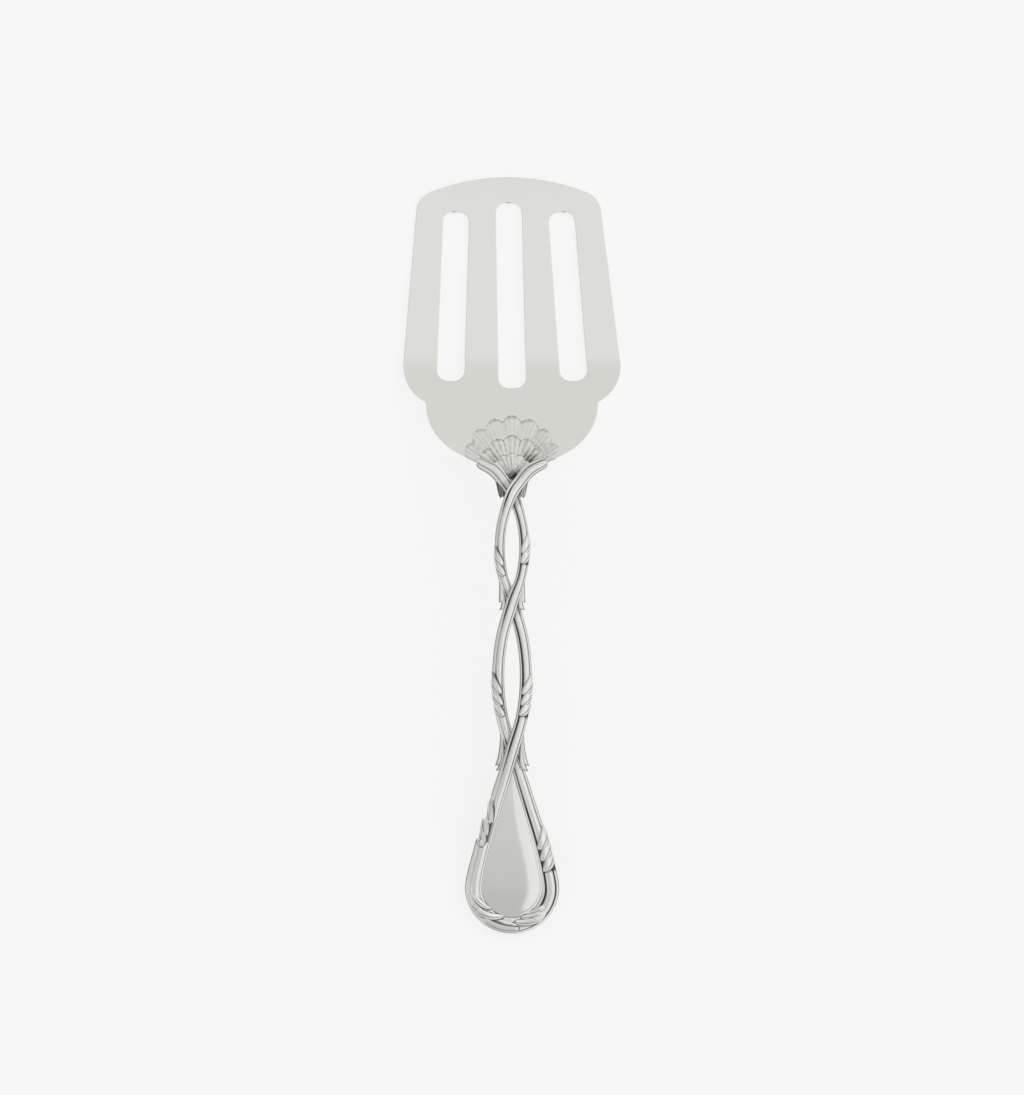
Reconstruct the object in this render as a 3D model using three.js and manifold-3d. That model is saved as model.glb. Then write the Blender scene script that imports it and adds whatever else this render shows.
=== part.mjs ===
// Fish serving fork: a pierced, cranked blade on an openwork handle of two twined reeded stems.
// Millimetres, +Z up. The fork lies as it would on a table, on the flat of its blade and the end of its
// handle, front face up and blade towards +Y. The origin is on the table, under the middle of its length.

import * as THREE from 'three';
import { mergeVertices } from 'three/addons/utils/BufferGeometryUtils.js';
import Module from 'manifold-3d';

const wasm = await Module();
wasm.setup();

// Overall
const LENGTH = 245; // seen from above, tip to handle end
const SOLDER_GAP = 0.3; // room for solder between two pieces
const CUT_MARGIN = 1; // how far a cutting shape reaches past what it cuts

// Blade
const BLADE_WIDTH = 70.5; // across the shoulders, its widest place
const BLADE_THICKNESS = 1.6;
const TIP_THICKNESS = 1.2;
const TIP_WIDTH = 59; // where the tip edge and the sides would meet without a rounded corner
const TIP_CROWN = 6.6; // how far the tip edge bows out past those corners
const TIP_CORNER = 4.5; // length of tip edge and side that the rounded corner takes up
const TIP_LIFT = 0.7; // the tip edge turns up this much
const TIP_LIFT_LENGTH = 12;
const TIP_DRIFT = 1.25; // the tip sits this far left of the handle's line, and the shoulders on it
const SHOULDER_FROM_TIP = 61;
const SHOULDER_RADIUS = 13.5;
const NOTCH_WIDTH = 55.7; // across the two notches between the shoulders and the heel
const HEEL_EDGE_FROM_TIP = 92.3; // where the heel's edge runs under the stems
const HEEL_EDGE_WIDTH = 22;
const NOTCH_PULL = 0.55; // how far down the heel's edge the notch keeps its direction, as a share
const HEEL_PULL = 0.12; // the same for the end of the heel's edge
const TANG_FILLET = 1.2;
const TANG_WIDTH = 6.4;
const TANG_FROM_TIP = 105.5; // rounded end of the tongue that the stems are soldered to

// Slots: the middle one is longer, the outer two lean with the blade's sides
const SLOT_TIP_WIDTH = 8.4;
const SLOT_HEEL_WIDTH = 8.8;
const MIDDLE_SLOT_FROM_TIP = 8.4;
const MIDDLE_SLOT_LENGTH = 60;
const OUTER_SLOT_FROM_TIP = 11.3;
const OUTER_SLOT_LENGTH = 54.7;
const OUTER_SLOT_TIP_OFFSET = 17.2; // from the middle of the blade to the slot's middle
const OUTER_SLOT_HEEL_OFFSET = 19.8;

// Side profile
const FLAT_LENGTH = 57; // of blade that lies on the table
const HEEL_RADIUS = 16;
const HEEL_ANGLE = THREE.MathUtils.degToRad(24);
const NECK_FROM_TIP = 107; // the highest place, where the handle starts to fall
const NECK_RADIUS = 40;

// Stems
const STEM_THICKNESS = 2.4;
const STEM_TIP_WIDTH = 1.2;
const STEM_FAN_WIDTH = 3.5; // where the stem fans out beside the palmette
const STEM_FAN_REACH = 11.4; // from the middle to the stem's tip
const STEM_TIP_FROM_TIP = 92.2;
// Places along the fan: out and up are shares of its reach and of its length above the first crossing,
// climb of the way from the blade to the top of the crossing, and width of the way to its full width.
const STEM_FAN = [
  { out: 1, up: 1, climb: 0, width: 0 },
  { out: 0.8, up: 0.9, climb: 0, width: 0.7 },
  { out: 0.5, up: 0.71, climb: 0.3, width: 1 },
  { out: 0.22, up: 0.35, climb: 0.8, width: 1 },
];
const UPPER_STEM_WIDTH = 3.4;
const LOWER_STEM_WIDTH = 4;
const DROP_STEM_WIDTH = 5.2; // round the end of the handle
const CROSSINGS_FROM_TIP = [102.6, 137.5, 185.3];
const LOOP_SPREADS = [3.95, 4.45]; // from the handle's middle to the stem's, where each loop is widest
const LOOP_FULLNESS = 0.8; // under 1 makes the loop rounder than a sine wave
const REED_AT = 0.52; // place of the two grooves, as a share of half the width
const REED_SHARE = 0.13; // half of a groove's width, likewise
const REED_DEPTH = 0.35;
const STEM_STEPS = 46;

// Drop, the pear-shaped end of the handle
const DROP_WIDTH = 30.6;
// Places along its straight sides: out and down are shares of its reach and of the way to its round end,
// lift of the crossing's height, and width of the way to the full width.
const DROP_SIDE = [
  { out: 0.39, down: 0.36, lift: 0.25, width: 0 },
  { out: 0.8, down: 0.72, lift: 0, width: 0.5 },
];
const DROP_SQUARE_END = 0.07; // share of the reach over which the stem runs square to the middle

// Domed panel inside the drop
const PANEL_EDGE = 1; // thickness at the rim
const PANEL_CROWN = 0.7; // rise of each face above its rim
const PANEL_POINT = 0.3; // half-width at the pointed end
const PANEL_MIDDLE = 0.32; // height of the dome's middle, as a share of the panel's length
const PANEL_RINGS = [1, 0.86, 0.6, 0.3]; // rings that shape the dome, as shares of its rim

// Palmette of three tiers of lobed leaves
const PALMETTE_FROM_TIP = 97.8; // the point that the leaves fan out from
const PALMETTE_SPREAD = THREE.MathUtils.degToRad(66);
const PALMETTE_SIDE_SHORT = 0.16; // the side leaves are shorter than the middle one by this share
const LOBE_DEPTH = 0.09; // of the nick between two leaves, as a share of the radius
const LOBE_CROWN = 0.35;
const LOBE_STEPS = 4;
const TIER_STEP = 0.25; // each tier starts this much higher, inside the one below
const TIER_NARROWING = 0.06; // and spreads less, by this share
const TIER_FOOT = 0.1; // where the leaves start, as a share of their length
const TIER_FOOT_STEP = 0.03; // each tier starts further out, by this share
const TIER_FOOT_RISE = 0.6; // the leaves' height there, as a share of their height at the tips
const OUTER_TIER_RADIUS = 20.4;
const OUTER_TIER_RISE = 0.8;
const MIDDLE_TIER_RADIUS = 14;
const MIDDLE_TIER_RISE = 1.35;
const INNER_TIER_RADIUS = 8.3;
const INNER_TIER_RISE = 1.9;
const PALMETTE_TIERS = [
  { radius: OUTER_TIER_RADIUS, rise: OUTER_TIER_RISE, lobes: 7 },
  { radius: MIDDLE_TIER_RADIUS, rise: MIDDLE_TIER_RISE, lobes: 5 },
  { radius: INNER_TIER_RADIUS, rise: INNER_TIER_RISE, lobes: 5 },
];

// Leaves
const LEAF_THICKNESS = 0.5;
const LEAF_EDGE = 0.2;
const LEAF_STEP = 0.1; // each leaf of a group starts this much higher, inside the one below
const LEAF_FOOT = 0.22; // the outline is a sine wave from this share of it to its end
const LEAF_FULLNESS = 0.7; // under 1 makes the outline rounder than a sine wave
const LEAF_POINT = 0.06; // width of the tip, as a share of the leaf's width

// Sheaths: leaves wound round the outer side of a stem. hand names the stem, and side is the side of the
// handle that it is on there, 1 for right and -1 for left. Each group lies on the stretch that starts at
// one of the crossings, and from and to are shares of that stretch.
const SEAT_DEPTH = 0.5; // the stem is filed away this much under a sheath
const SEAT_FADE = 2;
const SHEATH_LEAF_WIDTH = 3;
const SHEATH_FROM_ANGLE = THREE.MathUtils.degToRad(-35); // from the stem's outer side, over its front
const SHEATH_TO_ANGLE = THREE.MathUtils.degToRad(112);
const SHEATHS = [
  { name: 'upper_left_sheath', hand: 1, side: -1, crossing: 0, from: 0.5, to: 0.785, leaves: 2 },
  { name: 'upper_right_sheath', hand: -1, side: 1, crossing: 0, from: 0.385, to: 0.67, leaves: 2 },
  { name: 'lower_left_sheath', hand: -1, side: -1, crossing: 1, from: 0.46, to: 0.775, leaves: 3 },
  { name: 'lower_right_sheath', hand: 1, side: 1, crossing: 1, from: 0.48, to: 0.775, leaves: 3 },
  { name: 'drop_left_sheath', hand: 1, side: -1, crossing: 2, from: 0.272, to: 0.523, leaves: 3 },
  { name: 'drop_right_sheath', hand: -1, side: 1, crossing: 2, from: 0.414, to: 0.657, leaves: 3 },
];

// Calyxes: flared leaves in the fork of each crossing, from above it to below it. Their outer edge reaches
// from one distance off the handle's middle to another.
const CALYX_TOP_WIDTH = 1.1;
const CALYX_END_WIDTH = 3.2;
const CALYX_THICKNESS = 1.5;
const CALYX_TOP_THICKNESS = 0.75;
const CALYX_TOP_OFFSET = 0.5; // above or below the middle between the stems
const CALYX_END_OFFSET = 0.95;
const CALYX_FLARE = 1.5; // over 1 keeps it slim until near its end
const CALYXES = [
  { name: 'neck', above: 5, below: 1.4, topReach: 4.8, endReach: 4.2 },
  { name: 'middle', above: 5.2, below: 2.5, topReach: 3.7, endReach: 4.2 },
  { name: 'lower', above: 4.2, below: 6.6, topReach: 4.4, endReach: 5.4 },
];

// Sprays: leaves that follow the stems round the end of the drop. from and to are degrees round that end
// from its side, and fromAngle and toAngle are degrees round the stem from its outer edge over its front.
const SPRAY = [
  { from: 14, to: 44, fromAngle: 85, toAngle: 155, width: 2 },
  { from: 16, to: 58, fromAngle: 62, toAngle: 125, width: 2.2 },
  { from: 32, to: 74, fromAngle: 66, toAngle: 135, width: 2.2 },
  { from: 46, to: 86, fromAngle: 66, toAngle: 80, width: 2 },
];

const TIP_Y = LENGTH / 2;
const END_Y = -LENGTH / 2;
const fromTip = (distance) => TIP_Y - distance;
const heelStart = fromTip(FLAT_LENGTH);
const neck = fromTip(NECK_FROM_TIP);
const stemRise = (STEM_THICKNESS + SOLDER_GAP) / 2; // of one stem above, and the other below, at a crossing

// Finishes of the silver
const polished = { color: 0xdddeda, roughness: 0.16, metalness: 1 };
const reeded = { color: 0xd2d3ce, roughness: 0.2, metalness: 1 };
const chased = { color: 0xc4c5bf, roughness: 0.28, metalness: 1 };

// Geometry helpers

// A closed geometry as a solid that can be cut and joined.
function solidOf(geometry) {
  const bare = geometry.clone();
  bare.deleteAttribute('normal');
  bare.deleteAttribute('uv');
  const merged = mergeVertices(bare, 1e-4);
  return new wasm.Manifold(new wasm.Mesh({
    numProp: 3,
    vertProperties: new Float32Array(merged.attributes.position.array),
    triVerts: new Uint32Array(merged.index.array),
  }));
}

// The largest body of a cut or joined solid, without its offcuts and without any space sealed inside it.
function geometryOf(solid) {
  const [largest] = solid.decompose().sort((one, other) => other.volume() - one.volume());
  const mesh = largest.getMesh();
  return surface(mesh.vertProperties, mesh.triVerts);
}

function surface(coordinates, triangles) {
  const geometry = new THREE.BufferGeometry();
  geometry.setAttribute('position', new THREE.BufferAttribute(new Float32Array(coordinates), 3));
  geometry.setIndex(new THREE.BufferAttribute(new Uint32Array(triangles), 1));
  geometry.computeVertexNormals();
  return geometry;
}

// A closed surface with its faces turned outwards.
function closed(points, triangles) {
  const cross = new THREE.Vector3();
  let volume = 0;
  for (let i = 0; i < triangles.length; i += 3) {
    const [a, b, c] = [points[triangles[i]], points[triangles[i + 1]], points[triangles[i + 2]]];
    volume += a.dot(cross.crossVectors(b, c));
  }
  return surface(points.flatMap((p) => [p.x, p.y, p.z]), volume < 0 ? triangles.toReversed() : triangles);
}

// A skin over rings of points, each ring joined to the next, and capped at both ends.
function loft(rings) {
  const count = rings[0].length;
  const points = rings.flat();
  const triangles = [];
  for (let i = 0; i < rings.length - 1; i++) {
    for (let j = 0; j < count; j++) {
      const [a, b] = [i * count + j, i * count + ((j + 1) % count)];
      triangles.push(a, b, b + count, a, b + count, a + count);
    }
  }
  for (const [ring, first] of [[rings[0], 0], [rings.at(-1), points.length - count]]) {
    const centre = ring.reduce((sum, p) => sum.add(p), new THREE.Vector3()).divideScalar(count);
    const middle = points.push(centre) - 1;
    for (let j = 0; j < count; j++) {
      const [a, b] = [first + j, first + ((j + 1) % count)];
      triangles.push(...(first === 0 ? [b, a, middle] : [a, b, middle]));
    }
  }
  return closed(points, triangles);
}

// A plate between two grids of points, which have the same rows and columns.
function plate(upper, lower) {
  const [rows, columns] = [upper.length, upper[0].length];
  const points = [...upper.flat(), ...lower.flat()];
  const under = rows * columns;
  const triangles = [];
  const quad = (a, b, c, d) => triangles.push(a, b, c, a, c, d);
  for (let i = 0; i < rows - 1; i++) {
    for (let j = 0; j < columns - 1; j++) {
      const [a, b] = [i * columns + j, (i + 1) * columns + j];
      quad(a, b, b + 1, a + 1);
      quad(under + a, under + a + 1, under + b + 1, under + b);
    }
  }
  for (let i = 0; i < rows - 1; i++) {
    const [a, b] = [i * columns, (i + 1) * columns];
    const [c, d] = [a + columns - 1, b + columns - 1];
    quad(a, under + a, under + b, b);
    quad(c, d, under + d, under + c);
  }
  for (let j = 0; j < columns - 1; j++) {
    const last = (rows - 1) * columns + j;
    quad(j, j + 1, under + j + 1, under + j);
    quad(last, under + last, under + last + 1, last + 1);
  }
  return closed(points, triangles);
}

const steps = (count) => Array.from({ length: count + 1 }, (_, i) => i / count);
const between = (low, high, share) => low + (high - low) * share;

// Side profile

const rampStart = heelStart - HEEL_RADIUS * Math.sin(HEEL_ANGLE);
const rampEnd = neck + NECK_RADIUS * Math.sin(HEEL_ANGLE);
const rampFoot = HEEL_RADIUS * (1 - Math.cos(HEEL_ANGLE));
const neckHeight = rampFoot + (rampStart - rampEnd) * Math.tan(HEEL_ANGLE)
  + NECK_RADIUS * (1 - Math.cos(HEEL_ANGLE));
// The stems stand clear above the blade's tang, with the lower one of each crossing soldered to it.
const stemLift = BLADE_THICKNESS + SOLDER_GAP + STEM_THICKNESS / 2 + stemRise;
const { dropEnd, handleRun, handleFall } = restingHandle();

// Where the stems' middle ends, and how far the handle falls to rest there on the table. The slope at the
// end sets how the stem's section lies, and the section sets the fall, so a few rounds settle both.
function restingHandle() {
  let handleFall = neckHeight;
  let dropEnd;
  let handleRun;
  for (let round = 0; round < 12; round++) {
    handleRun = neck - (dropEnd ?? END_Y);
    const slope = 2 * handleFall / handleRun;
    const stretch = Math.hypot(1, slope);
    const rest = Math.hypot(DROP_STEM_WIDTH / 2 * slope, STEM_THICKNESS / 2) / stretch;
    dropEnd = END_Y + DROP_STEM_WIDTH / 2 / stretch;
    handleFall = neckHeight + stemLift * stretch - rest;
  }
  return { dropEnd, handleRun, handleFall };
}

// The drop's end is half a circle, and this is the circle that the middle of the stems follows.
const dropReach = (DROP_WIDTH - DROP_STEM_WIDTH) / 2;
const dropCentre = dropEnd + dropReach;

// Height and slope of the blade's underside at a distance y along the fork, carried on under the handle.
function profile(y) {
  const past = TIP_LIFT_LENGTH - (TIP_Y - y);
  if (past > 0) {
    const share = past / TIP_LIFT_LENGTH;
    return { height: TIP_LIFT * share ** 2, slope: 2 * TIP_LIFT * share / TIP_LIFT_LENGTH };
  }
  if (y >= heelStart) return { height: 0, slope: 0 };
  if (y >= rampStart) {
    const run = heelStart - y;
    const rise = Math.sqrt(HEEL_RADIUS ** 2 - run ** 2);
    return { height: HEEL_RADIUS - rise, slope: -run / rise };
  }
  if (y >= rampEnd) {
    return { height: rampFoot + (rampStart - y) * Math.tan(HEEL_ANGLE), slope: -Math.tan(HEEL_ANGLE) };
  }
  if (y >= neck) {
    const rise = Math.sqrt(NECK_RADIUS ** 2 - (y - neck) ** 2);
    return { height: neckHeight - NECK_RADIUS + rise, slope: -(y - neck) / rise };
  }
  const share = (neck - y) / handleRun;
  return { height: neckHeight - handleFall * share ** 2, slope: 2 * handleFall * share / handleRun };
}

// Height of a layer that lies a set distance off the underside, measured square to it.
function layerHeight(y, distance) {
  const { height, slope } = profile(y);
  return height + distance * Math.hypot(1, slope);
}

// Blade: a strip bent to the side profile and cut to its outline

function bladeStrip() {
  const stations = [
    ...steps(4).map((s) => TIP_Y - s * TIP_LIFT_LENGTH),
    ...steps(5).map((s) => between(heelStart, rampStart, s)),
    ...steps(5).map((s) => between(rampEnd, fromTip(TANG_FROM_TIP) - CUT_MARGIN, s)),
  ];
  const thickness = (y) => between(
    TIP_THICKNESS, BLADE_THICKNESS, Math.min(1, (TIP_Y - y) / FLAT_LENGTH));
  const under = stations.map((y) => new THREE.Vector2(y, profile(y).height));
  const over = stations.map((y) => new THREE.Vector2(y, layerHeight(y, thickness(y))));
  const strip = new THREE.ExtrudeGeometry(new THREE.Shape([...under, ...over.reverse()]), {
    depth: BLADE_WIDTH + 2 * CUT_MARGIN, bevelEnabled: false,
  });
  const across = new THREE.Vector3(1, 0, 0);
  const along = new THREE.Vector3(0, 1, 0);
  const up = new THREE.Vector3(0, 0, 1);
  strip.applyMatrix4(new THREE.Matrix4().makeBasis(along, up, across));
  return strip.translate(-BLADE_WIDTH / 2 - CUT_MARGIN, 0, 0);
}

// One half of the outline from the tip to the tang, for x above 0.
function bladeSide() {
  const half = TIP_WIDTH / 2;
  const tipRadius = (half ** 2 + TIP_CROWN ** 2) / (2 * TIP_CROWN);
  const tipCentre = TIP_Y - tipRadius;
  const cornerTurn = Math.acos(half / tipRadius) + TIP_CORNER / tipRadius;
  const corner = new THREE.Vector2(half, TIP_Y - TIP_CROWN);
  const shoulder = new THREE.Vector2(BLADE_WIDTH / 2, fromTip(SHOULDER_FROM_TIP));
  const sideStart = corner.clone().lerp(shoulder, TIP_CORNER / corner.distanceTo(shoulder));
  const shoulderCentre = shoulder.x - SHOULDER_RADIUS;
  const notchTurn = Math.acos((NOTCH_WIDTH / 2 - shoulderCentre) / SHOULDER_RADIUS);
  const heelEnd = new THREE.Vector2(HEEL_EDGE_WIDTH / 2, fromTip(HEEL_EDGE_FROM_TIP));
  const tangEnd = fromTip(TANG_FROM_TIP);
  const tangRadius = TANG_WIDTH / 2;

  const side = new THREE.Path();
  side.moveTo(0, TIP_Y);
  side.absarc(0, tipCentre, tipRadius, Math.PI / 2, cornerTurn, true);
  side.quadraticCurveTo(corner.x, corner.y, sideStart.x, sideStart.y);
  side.lineTo(shoulder.x, shoulder.y);
  side.absarc(shoulderCentre, shoulder.y, SHOULDER_RADIUS, 0, -notchTurn, true);
  const notch = side.currentPoint.clone();
  const drop = notch.y - heelEnd.y;
  side.bezierCurveTo(
    notch.x, notch.y - NOTCH_PULL * drop,
    (heelEnd.x + notch.x) / 2, heelEnd.y + HEEL_PULL * drop,
    heelEnd.x, heelEnd.y);
  side.quadraticCurveTo(
    tangRadius, heelEnd.y - TANG_FILLET, tangRadius, (heelEnd.y + tangEnd) / 2);
  side.lineTo(tangRadius, tangEnd + tangRadius);
  side.absarc(0, tangEnd + tangRadius, tangRadius, 0, -Math.PI / 2, true);
  return side.getPoints(9);
}

// A slot with round ends of two sizes, from its tip end to its heel end.
function slot(tipX, heelX, tipY, heelY) {
  const [tipRadius, heelRadius] = [SLOT_TIP_WIDTH / 2, SLOT_HEEL_WIDTH / 2];
  const tip = new THREE.Vector2(tipX, tipY - tipRadius);
  const heel = new THREE.Vector2(heelX, heelY + heelRadius);
  const lean = tip.clone().sub(heel).angle();
  const flare = Math.asin((heelRadius - tipRadius) / tip.distanceTo(heel));
  const path = new THREE.Path();
  path.absarc(tip.x, tip.y, tipRadius, lean - Math.PI / 2 + flare, lean + Math.PI / 2 - flare, false);
  path.absarc(heel.x, heel.y, heelRadius, lean + Math.PI / 2 - flare, lean + 1.5 * Math.PI + flare, false);
  return path;
}

function bladeGeometry() {
  const side = bladeSide();
  const outline = new THREE.Shape([
    ...side,
    ...side.slice(1, -1).reverse().map((p) => new THREE.Vector2(-p.x, p.y)),
  ]);
  const middleTip = fromTip(MIDDLE_SLOT_FROM_TIP);
  outline.holes.push(slot(0, 0, middleTip, middleTip - MIDDLE_SLOT_LENGTH));
  const outerTip = fromTip(OUTER_SLOT_FROM_TIP);
  for (const hand of [1, -1]) {
    outline.holes.push(slot(
      hand * OUTER_SLOT_TIP_OFFSET, hand * OUTER_SLOT_HEEL_OFFSET, outerTip, outerTip - OUTER_SLOT_LENGTH));
  }
  const cutter = new THREE.ExtrudeGeometry(outline, {
    depth: neckHeight + BLADE_THICKNESS + 2 * CUT_MARGIN, bevelEnabled: false, curveSegments: 7,
  });
  cutter.translate(0, 0, -CUT_MARGIN);
  const place = cutter.attributes.position;
  for (let i = 0; i < place.count; i++) {
    const share = Math.max(0, 1 - (TIP_Y - place.getY(i)) / SHOULDER_FROM_TIP);
    place.setX(i, place.getX(i) - TIP_DRIFT * share);
  }
  return geometryOf(solidOf(bladeStrip()).intersect(solidOf(cutter)));
}

// Stems: each runs from the palmette to the end of the drop and crosses the other three times.
// hand is 1 for the stem that starts on the right, which lies on top at the first crossing.

function stemCurve(hand) {
  const crossings = CROSSINGS_FROM_TIP.map(fromTip);
  const tipY = fromTip(STEM_TIP_FROM_TIP);
  const stations = [];
  const add = (x, y, lift, width) => {
    stations.push({ point: new THREE.Vector3(hand * x, y, lift), width });
  };

  // The fan beside the palmette comes down on to the blade, whichever stem it is.
  for (const { out, up, climb, width } of STEM_FAN) {
    add(
      out * STEM_FAN_REACH,
      between(crossings[0], tipY, up),
      hand > 0 ? between(-stemRise, stemRise, climb) : -stemRise,
      between(STEM_TIP_WIDTH, STEM_FAN_WIDTH, width));
  }
  let side = 1;
  crossings.forEach((y, i) => {
    const width = between(UPPER_STEM_WIDTH, LOWER_STEM_WIDTH, i / (crossings.length - 1));
    add(0, y, side * hand * stemRise, width);
    if (i === crossings.length - 1) return;
    side = -side;
    for (const share of [0.25, 0.5, 0.75]) {
      const turn = Math.PI * share;
      const spread = LOOP_SPREADS[i] * Math.sin(turn) ** LOOP_FULLNESS;
      const loopWidth = between(UPPER_STEM_WIDTH, LOWER_STEM_WIDTH, i / (LOOP_SPREADS.length - 1));
      const lift = -side * hand * stemRise * Math.cos(turn);
      add(side * spread, between(y, crossings[i + 1], share), lift, loopWidth);
    }
  });
  side = -side;

  // The drop: a straight run outwards, then half a circle to the middle of the end.
  for (const { out, down, lift, width } of DROP_SIDE) {
    add(
      side * out * dropReach,
      between(crossings.at(-1), dropCentre, down),
      -side * hand * lift * stemRise,
      between(LOWER_STEM_WIDTH, DROP_STEM_WIDTH, width));
  }
  for (const turn of [0, 0.2, 0.4, 0.6, 0.8].map((share) => share * Math.PI / 2)) {
    add(side * dropReach * Math.cos(turn), dropCentre - dropReach * Math.sin(turn), 0, DROP_STEM_WIDTH);
  }
  add(side * DROP_SQUARE_END * dropReach, dropEnd, 0, DROP_STEM_WIDTH);
  add(side * SOLDER_GAP / 2, dropEnd, 0, DROP_STEM_WIDTH);

  const curve = new THREE.CatmullRomCurve3(stations.map((s) => s.point), false, 'centripetal');
  const widthAt = (t) => {
    const place = t * (stations.length - 1);
    const i = Math.min(Math.floor(place), stations.length - 2);
    return between(stations[i].width, stations[i + 1].width, THREE.MathUtils.smoothstep(place - i, 0, 1));
  };
  const stem = { curve, widthAt, seats: [] };
  const fade = SEAT_FADE / curve.getLength();
  stem.seats = SHEATHS.filter((sheath) => sheath.hand === hand).map((sheath) => {
    const { from, to } = sheathSpan(stem, sheath);
    return { side: sheath.side, edges: [from - 2 * fade, from, to - fade, to + fade] };
  });
  return stem;
}

// The shares of a stem's length between which a sheath lies.
function sheathSpan(stem, { crossing, from, to }) {
  const stretch = [CROSSINGS_FROM_TIP[crossing], CROSSINGS_FROM_TIP[crossing + 1] ?? LENGTH];
  const at = (share) => shareAt(stem, fromTip(between(...stretch, share)));
  return { from: at(from), to: at(to) };
}

// How far a stem is filed away at a share u of its length, below 0 on its left side, above 0 on its right.
function seatAt(stem, u) {
  return stem.seats.reduce((sum, { side, edges }) => sum + side * SEAT_DEPTH
    * THREE.MathUtils.smoothstep(u, edges[0], edges[1])
    * (1 - THREE.MathUtils.smoothstep(u, edges[2], edges[3])), 0);
}

// The shares of a stem's length that have a section: even steps, and the edges of its seats.
function stemStations(stem) {
  const edges = stem.seats.flatMap((seat) => seat.edges);
  const apart = (u) => edges.every((edge) => Math.abs(u - edge) > 0.3 / STEM_STEPS);
  return [...steps(STEM_STEPS).filter(apart), ...edges].sort((a, b) => a - b);
}

// Middle, directions and half-sizes of a stem's section at a share u of its length.
function stemSection(stem, u) {
  const place = (share) => {
    const p = stem.curve.getPointAt(THREE.MathUtils.clamp(share, 0, 1));
    return new THREE.Vector3(p.x, p.y, layerHeight(p.y, stemLift + p.z));
  };
  const nudge = 0.002;
  const along = place(u + nudge).sub(place(u - nudge)).normalize();
  const middle = place(u);
  const facing = new THREE.Vector3(0, -profile(middle.y).slope, 1);
  const across = new THREE.Vector3().crossVectors(along, facing).normalize();
  const up = new THREE.Vector3().crossVectors(across, along);
  const seat = seatAt(stem, u);
  middle.addScaledVector(across, seat / 2);
  return {
    middle, across, up,
    half: (stem.widthAt(stem.curve.getUtoTmapping(u)) - Math.abs(seat)) / 2,
    depth: (STEM_THICKNESS - Math.abs(seat)) / 2,
  };
}

// A round-edged section with two grooves on each face, which leave a broad reed between two slim ones.
const REED_STATIONS = [1, 0.85, REED_AT + REED_SHARE, REED_AT, REED_AT - REED_SHARE, 0];

function reededRing({ middle, across, up, half, depth }, groove) {
  const face = [...REED_STATIONS, ...REED_STATIONS.slice(0, -1).reverse().map((q) => -q)];
  const heightAt = (q) => depth * Math.sqrt(1 - q * q) - (Math.abs(q) === REED_AT ? groove : 0);
  const point = (q, side) => middle.clone()
    .addScaledVector(across, half * q)
    .addScaledVector(up, side * heightAt(q));
  return [...face.map((q) => point(q, 1)), ...face.slice(1, -1).reverse().map((q) => point(q, -1))];
}

function stemGeometry(stem) {
  return loft(stemStations(stem).map((u) => reededRing(stemSection(stem, u), REED_DEPTH)));
}

// The space that a stem and its solder take, without grooves.
function stemRoom(stem) {
  return solidOf(loft(stemStations(stem).map((u) => {
    const { half, depth, ...place } = stemSection(stem, u);
    return reededRing({ ...place, half: half + SOLDER_GAP, depth: depth + SOLDER_GAP }, 0);
  })));
}

// The share of a stem's length that lies at a distance y along the fork.
function shareAt(stem, y) {
  let [low, high] = [0, 1];
  for (let i = 0; i < 30; i++) {
    const middle = (low + high) / 2;
    if (stem.curve.getPointAt(middle).y > y) low = middle;
    else high = middle;
  }
  return low;
}

// Leaves

// A pointed leaf wrapped on a stem. It runs from one place to another, each a share of the stem's length
// and an angle round it: 0 is the stem's outer side, a quarter turn its front, half a turn its inner side.
function leafOnStem(stem, outer, leaf, layer) {
  const length = stem.curve.getLength();
  const foot = stemSection(stem, leaf.from);
  const mean = (foot.half + foot.depth) / 2;
  const start = new THREE.Vector2(leaf.from * length, leaf.fromAngle * mean);
  const end = new THREE.Vector2(leaf.to * length, leaf.toAngle * mean);
  const side = end.clone().sub(start).rotateAround(new THREE.Vector2(), Math.PI / 2).normalize();
  const base = SOLDER_GAP + layer * LEAF_STEP;
  const grid = (offset) => steps(5).map((s) => [-1, -0.5, 0, 0.5, 1].map((w) => {
    const outline = Math.max(LEAF_POINT, Math.sin(Math.PI * between(LEAF_FOOT, 1, s)) ** LEAF_FULLNESS);
    const flat = start.clone().lerp(end, s).addScaledVector(side, w * outline * leaf.width / 2);
    const section = stemSection(stem, flat.x / length);
    const angle = flat.y / mean;
    const out = base + offset(s, w);
    return section.middle.clone()
      .addScaledVector(section.across, outer * Math.cos(angle) * (section.half + out))
      .addScaledVector(section.up, Math.sin(angle) * (section.depth + out));
  }));
  const crown = (s, w) => LEAF_EDGE
    + (LEAF_THICKNESS - LEAF_EDGE) * (1 - Math.abs(w) ** 1.5) * Math.sin(Math.PI * s ** LEAF_FULLNESS);
  return solidOf(plate(grid(crown), grid(() => 0)));
}

const joined = (solids) => geometryOf(solids.reduce((sum, solid) => sum.add(solid)));

// The leaves of a sheath each reach further down the stem than the last.
function sheathGeometry(stem, sheath) {
  const { from, to } = sheathSpan(stem, sheath);
  const pitch = (to - from) / (sheath.leaves + 1);
  return joined(Array.from({ length: sheath.leaves }, (_, i) => leafOnStem(stem, -sheath.side, {
    from: from + i * pitch,
    to: from + (i + 2) * pitch,
    fromAngle: SHEATH_FROM_ANGLE,
    toAngle: SHEATH_TO_ANGLE,
    width: SHEATH_LEAF_WIDTH,
  }, sheath.leaves - 1 - i)));
}

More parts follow.
